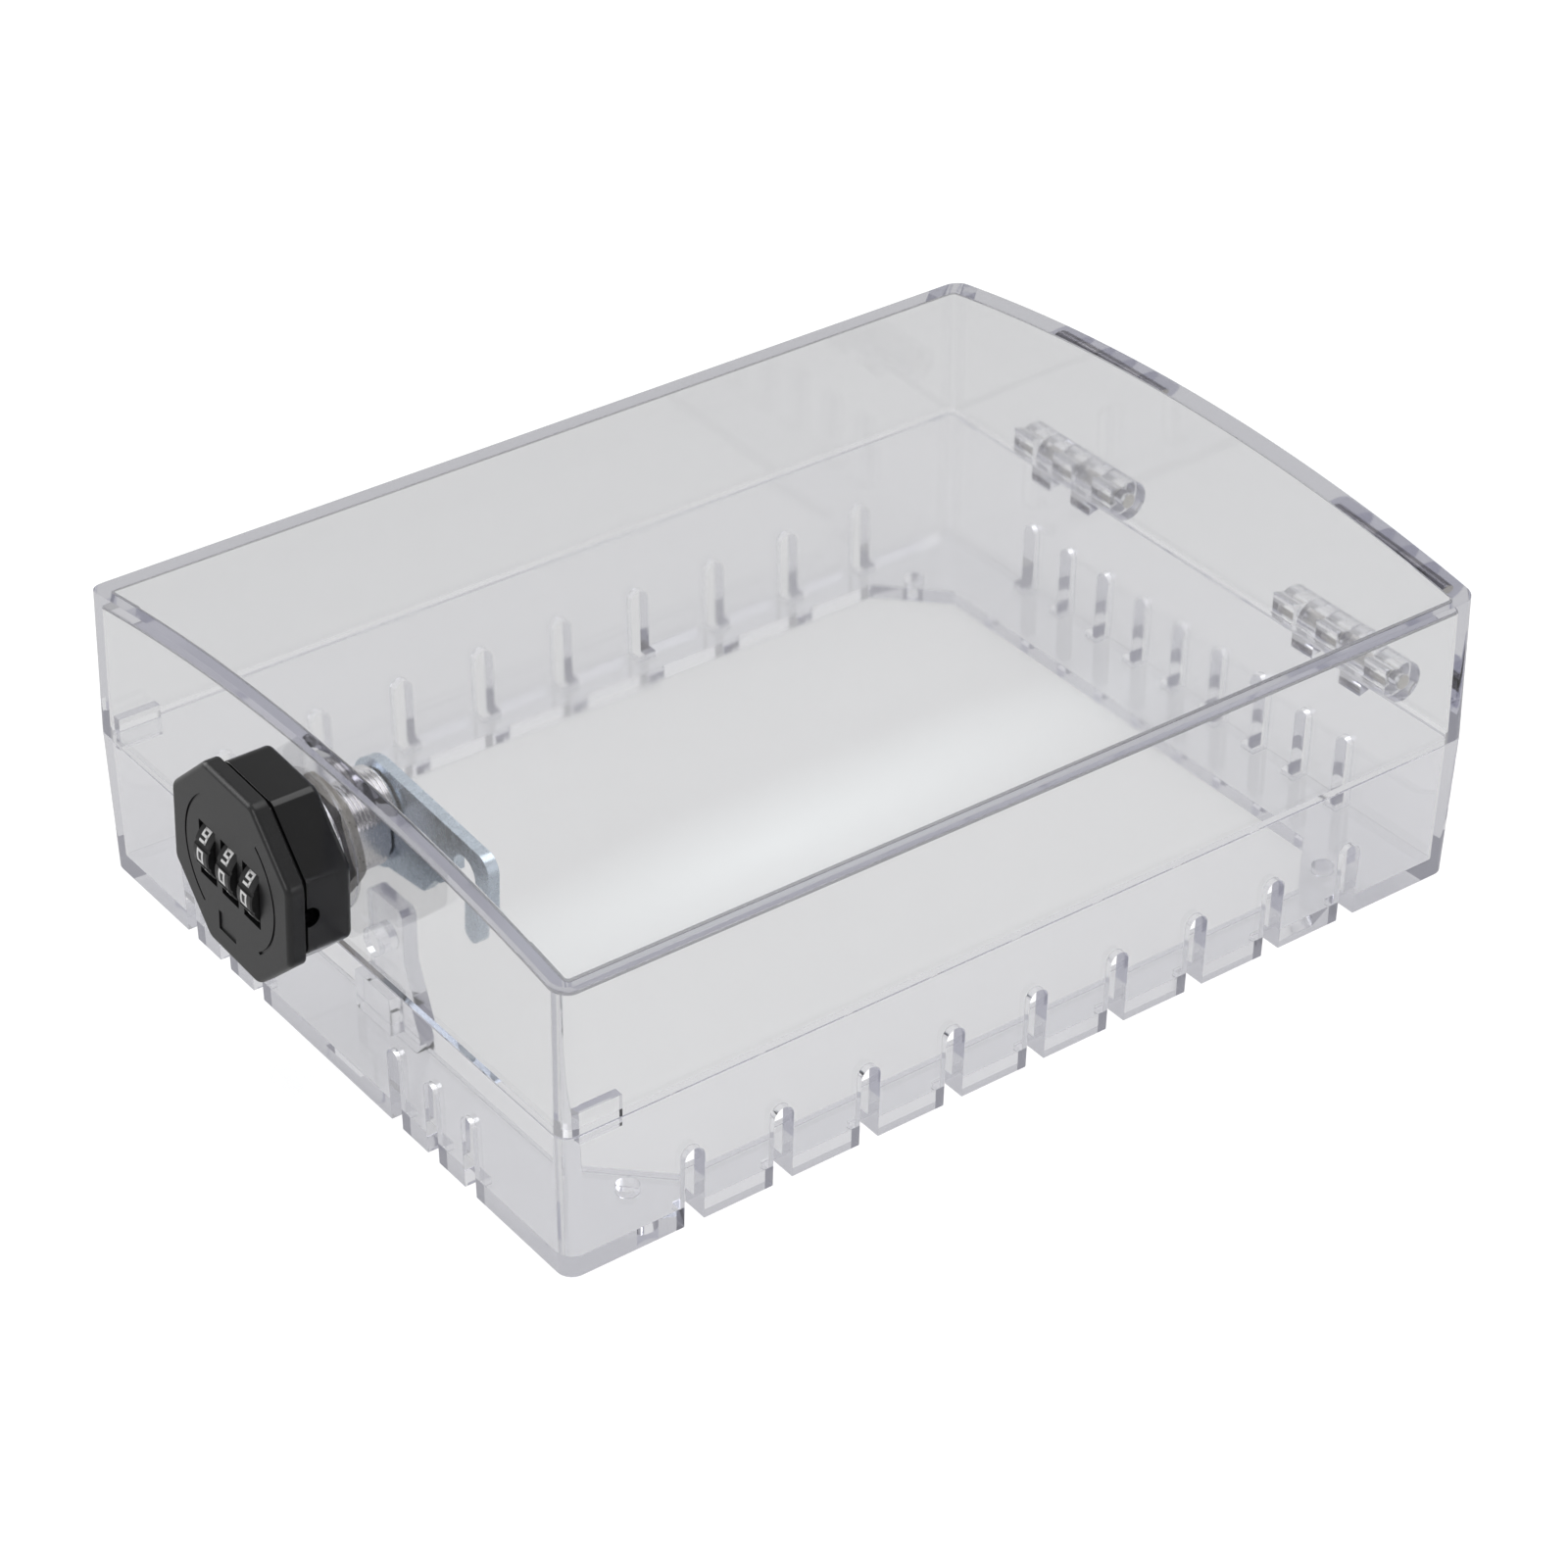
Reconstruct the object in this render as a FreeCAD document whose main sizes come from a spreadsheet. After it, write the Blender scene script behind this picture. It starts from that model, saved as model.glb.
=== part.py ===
"""Thermostat lock box: a clear base frame, a clear arched cover hinged to it, and a combination cam lock.

The row frame: the back of the base lies on Z = 0, which is the wall that the box is screwed to. The origin is
the middle of the base's outline. X runs from the lock wall to the hinge wall, Y along the lock wall.
All sizes are millimetres and degrees.
"""
import FreeCAD, Part
import math
import os
import Sketcher
from FreeCAD import Placement, Rotation, Vector

doc = FreeCAD.newDocument("thermostat_lock_box")
sheet = doc.addObject("Spreadsheet::Sheet", "sizes")


class Size:
    """A number together with the spreadsheet formula that gives it, so that sums of sizes stay formulas."""

    def __init__(self, value, formula):
        self.value = float(value)
        self.formula = formula

    @staticmethod
    def of(number):
        return number if isinstance(number, Size) else Size(number, repr(float(number)))

    def join(self, other, sign, value):
        return Size(value, "(%s %s %s)" % (self.formula, sign, other.formula))

    def __add__(self, other):
        other = Size.of(other)
        return self.join(other, "+", self.value + other.value)

    def __radd__(self, other):
        return Size.of(other) + self

    def __sub__(self, other):
        other = Size.of(other)
        return self.join(other, "-", self.value - other.value)

    def __rsub__(self, other):
        return Size.of(other) - self

    def __mul__(self, other):
        other = Size.of(other)
        return self.join(other, "*", self.value * other.value)

    def __rmul__(self, other):
        return Size.of(other) * self

    def __truediv__(self, other):
        other = Size.of(other)
        return self.join(other, "/", self.value / other.value)

    def __neg__(self):
        return Size(-self.value, "(0 - %s)" % self.formula)


def root(size):
    return Size(math.sqrt(size.value), "sqrt(%s)" % size.formula)


def cosine(size):
    return Size(math.cos(math.radians(size.value)), "cos(%s)" % size.formula)


def sine(size):
    return Size(math.sin(math.radians(size.value)), "sin(%s)" % size.formula)


next_row = 1


def cell(name, number):
    """Write one driving dimension into the sheet and return it."""
    global next_row
    sheet.set("A%d" % next_row, name)
    sheet.set("B%d" % next_row, str(number))
    sheet.setAlias("B%d" % next_row, name)
    next_row += 1
    return Size(number, "sizes.%s" % name)


# Driving dimensions of the two clear mouldings
box_length = cell("box_length", 200.0)
box_width = cell("box_width", 150.0)
base_height = cell("base_height", 29.8)
parting_gap = cell("parting_gap", 0.3)
cover_side_height = cell("cover_side_height", 29.5)
crown_rise = cell("crown_rise", 6.8)
wall = cell("wall", 3.0)
base_draft = cell("base_draft", 1.35)
cover_draft = cell("cover_draft", 0.85)
corner_radius = cell("corner_radius", 3.0)
inner_radius = cell("inner_radius", 1.2)
edge_radius = cell("edge_radius", 1.4)
flange_thickness = cell("flange_thickness", 3.0)
flange_reach_x = cell("flange_reach_x", 18.0)
flange_reach_y = cell("flange_reach_y", 11.5)
flange_corner_cut = cell("flange_corner_cut", 12.0)

# Screw holes of the flange and vent slots
screw_inset_x = cell("screw_inset_x", 21.2)
screw_inset_y = cell("screw_inset_y", 14.5)
screw_hole_radius = cell("screw_hole_radius", 2.1)
vent_height = cell("vent_height", 16.0)
vent_depth = cell("vent_depth", 6.0)
long_vent_width = cell("long_vent_width", 4.0)
long_vent_pitch = cell("long_vent_pitch", 18.4)
end_vent_width = cell("end_vent_width", 3.4)
end_vent_pitch = cell("end_vent_pitch", 11.4)

# Corner tabs of the cover
tab_length = cell("tab_length", 8.5)
tab_drop = cell("tab_drop", 3.4)
tab_thickness = cell("tab_thickness", 1.6)
tab_play = cell("tab_play", 0.35)

# Hinges
hinge_offset = cell("hinge_offset", 4.8)
knuckle_radius = cell("knuckle_radius", 4.2)
knuckle_length = cell("knuckle_length", 6.0)
knuckle_gap = cell("knuckle_gap", 0.3)
hinge_spread = cell("hinge_spread", 38.5)
knuckle_web = cell("knuckle_web", 7.0)
knuckle_gusset = cell("knuckle_gusset", 10.0)
pin_radius = cell("pin_radius", 1.5)
pin_play = cell("pin_play", 0.06)

# Latch post on the base
peg_radius = cell("peg_radius", 2.75)
peg_height = cell("peg_height", 20.7)
peg_overhang = cell("peg_overhang", 1.2)
post_height = cell("post_height", 27.6)
post_thickness = cell("post_thickness", 3.0)
post_left = cell("post_left", 7.0)
post_right = cell("post_right", 4.3)
post_gusset = cell("post_gusset", 5.2)
post_gusset_height = cell("post_gusset_height", 14.0)
post_step_height = cell("post_step_height", 8.0)
post_step_depth = cell("post_step_depth", 2.8)
post_corner_cut = cell("post_corner_cut", 2.0)
running_gap = cell("running_gap", 0.4)

# Lock barrel, washer and nut
lock_height = cell("lock_height", 46.5)
barrel_radius = cell("barrel_radius", 8.0)
barrel_flat = cell("barrel_flat", 6.9)
barrel_reach = cell("barrel_reach", 13.9)
barrel_flange_radius = cell("barrel_flange_radius", 11.5)
barrel_flange = cell("barrel_flange", 2.1)
panel_play = cell("panel_play", 0.15)
seat_rise = cell("seat_rise", 0.12)
washer_radius = cell("washer_radius", 13.0)
washer_thickness = cell("washer_thickness", 0.6)
nut_flats = cell("nut_flats", 19.7)
nut_thickness = cell("nut_thickness", 2.5)
nut_turn = cell("nut_turn", 5.7)
notch_play = cell("notch_play", 0.1)
notch_width = cell("notch_width", 4.6)
spindle_radius = cell("spindle_radius", 4.5)
spindle_play = cell("spindle_play", 0.08)

# Cam and its fastening
cam_gap = cell("cam_gap", 0.3)
cam_thickness = cell("cam_thickness", 2.2)
cam_square = cell("cam_square", 6.2)
cam_square_play = cell("cam_square_play", 0.1)
cam_hub_radius = cell("cam_hub_radius", 9.0)
cam_arm_top = cell("cam_arm_top", 8.8)
cam_arm_bottom = cell("cam_arm_bottom", 5.2)
cam_leg_outer = cell("cam_leg_outer", 33.0)
cam_leg_width = cell("cam_leg_width", 4.0)
cam_leg_drop = cell("cam_leg_drop", 6.5)
cam_slot_play = cell("cam_slot_play", 0.5)
cam_slot_top = cell("cam_slot_top", 5.7)
cam_washer_radius = cell("cam_washer_radius", 5.0)
cam_washer_thickness = cell("cam_washer_thickness", 0.8)
cam_screw_head = cell("cam_screw_head", 4.7)
cam_screw_head_height = cell("cam_screw_head_height", 2.8)
cam_screw_shank = cell("cam_screw_shank", 2.0)
cam_screw_depth = cell("cam_screw_depth", 7.0)
thread_play = cell("thread_play", 0.04)

# Combination knob
knob_rest_turn = cell("knob_rest_turn", 3.0)
knob_gap = cell("knob_gap", 0.4)
knob_front = cell("knob_front", 15.7)
face_thickness = cell("face_thickness", 3.3)
groove_length = cell("groove_length", 1.0)
housing_half = cell("housing_half", 17.5)
groove_half = cell("groove_half", 16.9)
face_half = cell("face_half", 18.75)
knob_corner_radius = cell("knob_corner_radius", 2.6)
face_bevel = cell("face_bevel", 0.6)
cavity_side = cell("cavity_side", 12.2)
cavity_top = cell("cavity_top", 9.6)
cavity_bottom = cell("cavity_bottom", 13.4)
floor_thickness = cell("floor_thickness", 0.9)
spindle_flange = cell("spindle_flange", 0.9)
spindle_flange_radius = cell("spindle_flange_radius", 8.0)
lug_half_width = cell("lug_half_width", 6.6)
lug_reach = cell("lug_reach", 14.0)
lug_screw_x = cell("lug_screw_x", 4.6)
lug_screw_y = cell("lug_screw_y", 12.0)
small_screw_radius = cell("small_screw_radius", 0.9)
small_screw_head = cell("small_screw_head", 1.6)
seat_play = cell("seat_play", 0.05)

# Dials, code sleeves and reset axle
dial_radius = cell("dial_radius", 6.4)
dial_proud = cell("dial_proud", 1.6)
dial_width = cell("dial_width", 4.6)
dial_pitch = cell("dial_pitch", 7.0)
dial_groove = cell("dial_groove", 0.45)
counterbore_play = cell("counterbore_play", 0.4)
window_play = cell("window_play", 0.35)
window_half_height = cell("window_half_height", 5.7)
dial_clearance = cell("dial_clearance", 0.3)
sleeve_radius = cell("sleeve_radius", 2.5)
sleeve_flange_radius = cell("sleeve_flange_radius", 3.6)
sleeve_flange = cell("sleeve_flange", 1.2)
sleeve_play = cell("sleeve_play", 0.06)
sleeve_gap = cell("sleeve_gap", 0.2)
axle_radius = cell("axle_radius", 1.3)
axle_play = cell("axle_play", 0.07)
axle_collar_radius = cell("axle_collar_radius", 2.2)
axle_collar = cell("axle_collar", 0.9)
reset_travel = cell("reset_travel", 1.6)
reset_hole_radius = cell("reset_hole_radius", 2.0)
reset_bearing = cell("reset_bearing", 1.6)
reset_spring_length = cell("reset_spring_length", 3.0)
spring_wire = cell("spring_wire", 0.4)

# Lock bar, its springs and the detent leaf
bar_travel = cell("bar_travel", 0.9)
bar_gap = cell("bar_gap", 0.2)
gate_play = cell("gate_play", 0.5)
bar_thickness = cell("bar_thickness", 1.2)
bar_top = cell("bar_top", 8.3)
finger_width = cell("finger_width", 1.0)
finger_top = cell("finger_top", 1.5)
pawl_half_width = cell("pawl_half_width", 1.5)
pawl_inner = cell("pawl_inner", 9.0)
bar_spring_radius = cell("bar_spring_radius", 1.5)
bar_spring_x = cell("bar_spring_x", 6.0)
leaf_thickness = cell("leaf_thickness", 0.35)
leaf_finger_width = cell("leaf_finger_width", 3.0)

# Sizes worked out from the driving dimensions
half_length = box_length / 2
half_width = box_width / 2
parting = base_height + parting_gap
hinge_x = half_length + hinge_offset
hinge_z = base_height + parting_gap / 2
knob_back = barrel_flange + knob_gap
face_back = knob_front - face_thickness
housing_front = face_back - groove_length
dial_depth = knob_front + dial_proud - dial_radius
cavity_floor = knob_back + spindle_flange + floor_thickness
lock_seat = wall + seat_rise + sine(cover_draft) / cosine(cover_draft) * (lock_height + washer_radius - parting)
washer_front = -lock_seat
nut_front = washer_front - washer_thickness
cam_front = -(barrel_reach + cam_gap)
cam_back = cam_front - cam_thickness
cam_screw_seat = cam_back - cam_washer_thickness
cam_slot_inner = cam_leg_outer - cam_leg_width - (peg_radius + cam_slot_play) * 2
peg_arm = cam_slot_inner + peg_radius + cam_slot_play
post_front = -half_length - cam_back + running_gap
post_back = post_front + post_thickness
window_width = dial_width + window_play * 2
dial_bore = sleeve_radius + sleeve_play
dial_counterbore = sleeve_flange_radius + dial_clearance
dial_counterbore_depth = reset_travel + counterbore_play
sleeve_gate = sleeve_flange_radius + bar_gap - bar_travel - gate_play
notch_depth = bar_travel + notch_play
bar_front = dial_depth - sleeve_flange_radius - bar_gap
bar_back = bar_front - bar_thickness
pawl_tip = barrel_flange + bar_gap
octagon_corner = math.tan(math.pi / 8)
dial_numbers = (1, 2, 3)


def bind(thing, name, size):
    """Drive one property or constraint by its formula."""
    size = Size.of(size)
    thing.setExpression(name, size.formula)


def start_body(label, place=None):
    body = doc.addObject("PartDesign::Body", label)
    body.Label = label
    if place is not None:
        body.Placement = place
    return body


def origin_part(body, role):
    return next(part for part in body.Origin.OriginFeatures if part.Role == role)


def start_sketch(body, role, offset=None):
    """A sketch on one of the body's own origin planes, moved along the plane's normal."""
    sketch = body.newObject("Sketcher::SketchObject", body.Label + "_sketch")
    sketch.AttachmentSupport = [(origin_part(body, role), "")]
    sketch.MapMode = "FlatFace"
    if offset is not None:
        sketch.AttachmentOffset = Placement(Vector(0, 0, Size.of(offset).value), Rotation())
        bind(sketch, "AttachmentOffset.Base.z", offset)
    return sketch


def close(first, second, within=0.02):
    return abs(Size.of(first).value - Size.of(second).value) < within


def constrain(sketch, kind, where, size):
    size = Size.of(size)
    number = sketch.addConstraint(Sketcher.Constraint(kind, *where, size.value))
    name = "size_%d" % number
    sketch.renameConstraint(number, name)
    bind(sketch, "Constraints." + name, size)


def fix_point(sketch, curve, point, x, y):
    """Hold a point of a curve at x, y from the sketch's origin; a plain 0 puts it on the axis."""
    for kind, axis, number in (("DistanceX", -2, x), ("DistanceY", -1, y)):
        if not isinstance(number, Size) and number == 0:
            sketch.addConstraint(Sketcher.Constraint("PointOnObject", curve, point, axis))
        else:
            constrain(sketch, kind, (-1, 1, curve, point), number)


def value_of(point):
    return Vector(Size.of(point[0]).value, Size.of(point[1]).value, 0)


def arc_through(start, end, radius, side, major):
    """The arc from start to end; side +1 has its middle to the left of the chord. No radius: a half circle."""
    chord = end - start
    radius = chord.Length / 2 if radius is None else Size.of(radius).value
    middle = (start + end) / 2
    left = Vector(-chord.y, chord.x, 0).normalize()
    height = math.sqrt(max(radius ** 2 - (chord.Length / 2) ** 2, 0))
    rise = radius + height if major else radius - height
    return Part.Arc(start, middle + left * side * rise, end)


def outline(sketch, corners):
    """A closed outline. A corner is (x, y), or (x, y, radius, side, major) where an arc leaves it."""
    total = len(corners)
    ends = []
    for number, corner in enumerate(corners):
        here = value_of(corner)
        there = value_of(corners[(number + 1) % total])
        if len(corner) == 2:
            curve = sketch.addGeometry(Part.LineSegment(here, there), False)
            ends.append((curve, 1, 2))
            continue
        radius, side, major = corner[2:]
        curve = sketch.addGeometry(arc_through(here, there, radius, side, major), False)
        first = sketch.getPoint(curve, 1)
        forward = (first - here).Length < (first - there).Length
        ends.append((curve, 1, 2) if forward else (curve, 2, 1))
    for number, corner in enumerate(corners):
        curve, first, last = ends[number]
        after, after_first = ends[(number + 1) % total][:2]
        sketch.addConstraint(Sketcher.Constraint("Coincident", curve, last, after, after_first))
        fix_point(sketch, curve, first, corner[0], corner[1])
        if len(corner) == 2:
            continue
        if corner[2] is not None:
            constrain(sketch, "Radius", (curve,), corner[2])
            continue
        following = corners[(number + 1) % total]
        level = close(corner[1], following[1], 0.001) if isinstance(corner[1], Size) else False
        kind, axis = ("DistanceY", 1) if level else ("DistanceX", 0)
        constrain(sketch, kind, (-1, 1, curve, 3), (corner[axis] + following[axis]) / 2)


def circle(sketch, x, y, radius):
    place = value_of((x, y))
    curve = sketch.addGeometry(Part.Circle(place, Vector(0, 0, 1), Size.of(radius).value), False)
    fix_point(sketch, curve, 3, x, y)
    constrain(sketch, "Radius", (curve,), radius)


def rectangle(sketch, left, right, bottom, top):
    outline(sketch, [(left, bottom), (right, bottom), (right, top), (left, top)])


def octagon(sketch, half):
    """A regular octagon with a flat on each side of the axes, half its width across flats."""
    short = half * octagon_corner
    outline(sketch, [(half, -short), (half, short), (short, half), (-short, half),
                     (-half, short), (-half, -short), (-short, -half), (short, -half)])


def extrude(kind, body, sketch, length, reverse=False, both=False, draft=None, through=False):
    """A pad or pocket of one sketch. A pocket has to take material away, so its volume is compared."""
    doc.recompute()
    if sketch.solve() != 0:
        raise RuntimeError("%s can't be solved" % sketch.Name)
    before = body.Shape.Volume if kind == "Pocket" else 0.0
    feature = body.newObject("PartDesign::" + kind, "%s_%s" % (body.Label, kind.lower()))
    feature.Profile = sketch
    feature.Reversed = reverse
    if both:
        feature.SideType = "Symmetric"
    if through:
        feature.Type = "ThroughAll"
    else:
        bind(feature, "Length", length)
    if draft is not None:
        bind(feature, "TaperAngle", draft)
    body.Tip = feature
    sketch.Visibility = False
    doc.recompute()
    if kind == "Pocket" and not body.Shape.Volume < before - 1e-4:
        raise RuntimeError("%s removes nothing" % feature.Name)
    return feature


def pad(body, sketch, length, **options):
    return extrude("Pad", body, sketch, length, **options)


def pocket(body, sketch, length=None, **options):
    return extrude("Pocket", body, sketch, length, through=length is None, **options)


def mirror(body, features, role):
    feature = body.newObject("PartDesign::Mirrored", body.Label + "_mirrored")
    feature.Originals = features
    feature.MirrorPlane = (origin_part(body, role), [""])
    body.Tip = feature
    doc.recompute()
    return feature


def turn_pattern(body, features, role, count):
    feature = body.newObject("PartDesign::PolarPattern", body.Label + "_pattern")
    feature.Originals = features
    feature.Axis = (origin_part(body, role), [""])
    feature.Angle = 360
    feature.Occurrences = count
    body.Tip = feature
    doc.recompute()
    return feature


def edges_where(body, test):
    """Names of the edges of the body's tip whose two ends and middle all pass the test."""
    names = []
    for number, edge in enumerate(body.Tip.Shape.Edges, 1):
        middle = edge.valueAt((edge.FirstParameter + edge.LastParameter) / 2)
        points = [vertex.Point for vertex in edge.Vertexes] + [middle]
        if all(test(point) for point in points):
            names.append("Edge%d" % number)
    if not names:
        raise RuntimeError("no edge of %s fits" % body.Label)
    return names


def dress(kind, body, edges, size):
    """A fillet or chamfer on named edges of the tip."""
    base = body.Tip
    feature = body.newObject("PartDesign::" + kind, "%s_%s" % (body.Label, kind.lower()))
    feature.Base = (base, edges)
    bind(feature, "Radius" if kind == "Fillet" else "Size", size)
    body.Tip = feature
    doc.recompute()
    return feature


def upright(edge_test):
    """Edges that run along Z: the test reads x and y of the middle."""
    def chosen(edge):
        ends = [vertex.Point for vertex in edge.Vertexes]
        return len(ends) == 2 and abs(ends[0].z - ends[1].z) > 0.5 and edge_test(ends)
    return chosen


def edges_by(body, chosen):
    names = ["Edge%d" % number for number, edge in enumerate(body.Tip.Shape.Edges, 1) if chosen(edge)]
    if not names:
        raise RuntimeError("no edge of %s fits" % body.Label)
    return names


# Base frame: drafted walls, flange with an eight-sided opening, vents, hinge knuckles and latch post
def corner_column(reach_x, reach_y, slack):
    """Chooses the upright edges in the four corners of an upright rectangle."""
    def chosen(edge):
        ends = [vertex.Point for vertex in edge.Vertexes]
        if len(ends) != 2 or abs(ends[0].z - ends[1].z) < 5:
            return False
        return all(abs(abs(end.x) - Size.of(reach_x).value) < slack
                   and abs(abs(end.y) - Size.of(reach_y).value) < slack for end in ends)
    return chosen


def add_knuckles(body, ends, upward):
    """Hinge knuckles: a barrel and its web, moulded on the wall, with the pin's bore left open."""
    side = 1 if upward else -1
    web = knuckle_web if upward else knuckle_gusset
    shift = knuckle_radius * math.cos(math.radians(60))
    lift = knuckle_radius * math.sin(math.radians(60))
    root_x = half_length - wall / 3
    edge_z = parting if upward else base_height
    gap_z = (edge_z - hinge_z)
    low_x = hinge_x - root(knuckle_radius * knuckle_radius - gap_z * gap_z)
    for near, far in ends:
        sketch = start_sketch(body, "XZ_Plane", -near)
        outline(sketch, [(root_x, edge_z), (root_x, edge_z + side * web),
                         (hinge_x - shift, hinge_z + side * lift, knuckle_radius, side, True),
                         (low_x, edge_z)])
        pad(body, sketch, far - near, reverse=True)
    sketch = start_sketch(body, "XZ_Plane")
    circle(sketch, hinge_x, hinge_z, pin_radius + pin_play)
    pocket(body, sketch, box_width, both=True)


def knuckle_ends(numbers):
    """Near and far faces of the knuckles with these numbers, counted along the two hinges."""
    ends = []
    for side in (-1, 1):
        for number in numbers:
            middle = hinge_spread * side + knuckle_length * number
            ends.append((middle - (knuckle_length - knuckle_gap) / 2, middle + (knuckle_length - knuckle_gap) / 2))
    return ends


def vent_outlines(sketch, numbers, pitch, width):
    """Slots that are open at the bottom and round at the top."""
    for number in numbers:
        left = pitch * number - width / 2
        right = pitch * number + width / 2
        shoulder = vent_height - width / 2
        outline(sketch, [(left, -wall), (right, -wall), (right, shoulder, None, -1, False), (left, shoulder)])


def make_base():
    body = start_body("base_shell")
    sketch = start_sketch(body, "XY_Plane", base_height)
    rectangle(sketch, -half_length, half_length, -half_width, half_width)
    pad(body, sketch, base_height, reverse=True, draft=-base_draft)
    dress("Fillet", body, edges_by(body, corner_column(half_length, half_width, 1.5)), corner_radius)

    sketch = start_sketch(body, "XY_Plane", base_height)
    rectangle(sketch, wall - half_length, half_length - wall, wall - half_width, half_width - wall)
    pocket(body, sketch, base_height - flange_thickness, draft=-base_draft)
    dress("Fillet", body, edges_by(body, corner_column(half_length - wall, half_width - wall, 1.5)), inner_radius)

    open_x = half_length - flange_reach_x
    open_y = half_width - flange_reach_y
    cut = flange_corner_cut
    sketch = start_sketch(body, "XY_Plane")
    outline(sketch, [(open_x, cut - open_y), (open_x, open_y - cut), (open_x - cut, open_y), (cut - open_x, open_y),
                     (-open_x, open_y - cut), (-open_x, cut - open_y), (cut - open_x, -open_y),
                     (open_x - cut, -open_y)])
    pocket(body, sketch, flange_thickness, reverse=True)

    sketch = start_sketch(body, "XY_Plane")
    for side_x in (-1, 1):
        for side_y in (-1, 1):
            circle(sketch, side_x * (half_length - screw_inset_x), side_y * (half_width - screw_inset_y),
                   screw_hole_radius)
    pocket(body, sketch, flange_thickness, reverse=True)

    sketch = start_sketch(body, "XZ_Plane", half_width + wall)
    vent_outlines(sketch, range(-4, 5), long_vent_pitch, long_vent_width)
    cut = pocket(body, sketch, vent_depth + wall)
    mirror(body, [cut], "XZ_Plane")
    sketch = start_sketch(body, "YZ_Plane", half_length + wall)
    vent_outlines(sketch, range(-4, 5), end_vent_pitch, end_vent_width)
    pocket(body, sketch, vent_depth + wall)
    sketch = start_sketch(body, "YZ_Plane", -half_length - wall)
    vent_outlines(sketch, (-4, -3, -2, 2, 3, 4), end_vent_pitch, end_vent_width)
    pocket(body, sketch, vent_depth + wall, reverse=True)

    add_latch_post(body)
    add_knuckles(body, knuckle_ends((-1, 1)), upward=False)
    return body


def add_latch_post(body):
    """The post stands on a tongue of the flange, with a step in front and a round peg for the hook."""
    tongue_near = post_right + post_gusset
    sketch = start_sketch(body, "XY_Plane")
    rectangle(sketch, flange_reach_x - half_length - 1, post_back, -tongue_near, post_left + 1)
    pad(body, sketch, flange_thickness)
    sketch = start_sketch(body, "YZ_Plane", post_front)
    low = flange_thickness / 2
    outline(sketch, [(-tongue_near, low), (-tongue_near, flange_thickness + 1),
                     (-post_right, flange_thickness + post_gusset_height), (-post_right, post_height),
                     (post_left - post_corner_cut, post_height), (post_left, post_height - post_corner_cut),
                     (post_left, low)])
    pad(body, sketch, post_thickness)
    sketch = start_sketch(body, "YZ_Plane", post_front)
    rectangle(sketch, -post_right, post_left, low, flange_thickness + post_step_height)
    pad(body, sketch, post_step_depth, reverse=True)
    sketch = start_sketch(body, "YZ_Plane", post_front)
    circle(sketch, 0, peg_height, peg_radius)
    pad(body, sketch, running_gap + cam_thickness + peg_overhang, reverse=True)


# Cover: drafted walls, cylindrical crown, hole for the lock, corner tabs and hinge knuckles
def crown_arc(inset):
    """Radius of the crown, whose edge is on the side walls and whose middle rises above it."""
    half = half_width
    return (half * half + crown_rise * crown_rise) / (crown_rise * 2) - inset


def crown_outline(sketch, inset, left, right):
    """The space above the crown, from its arc up past the top of the block."""
    radius = crown_arc(inset)
    middle = parting + cover_side_height + crown_rise - inset - radius
    side_z = middle + root(radius * radius - right * right)
    top = parting + cover_side_height + crown_rise * 3
    outline(sketch, [(left, side_z), (left, top), (right, top), (right, side_z, radius, -1, False)])


def crowned_block(label, inset):
    """A drafted block whose top is a part of a cylinder: the cover's outside, or its core one wall smaller."""
    body = start_body(label)
    sketch = start_sketch(body, "XY_Plane", parting)
    rectangle(sketch, inset - half_length, half_length - inset, inset - half_width, half_width - inset)
    pad(body, sketch, cover_side_height + crown_rise * 2, draft=-cover_draft)
    sketch = start_sketch(body, "YZ_Plane")
    crown_outline(sketch, inset, -half_width, half_width)
    pocket(body, sketch, box_length, both=True)
    return body


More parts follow.
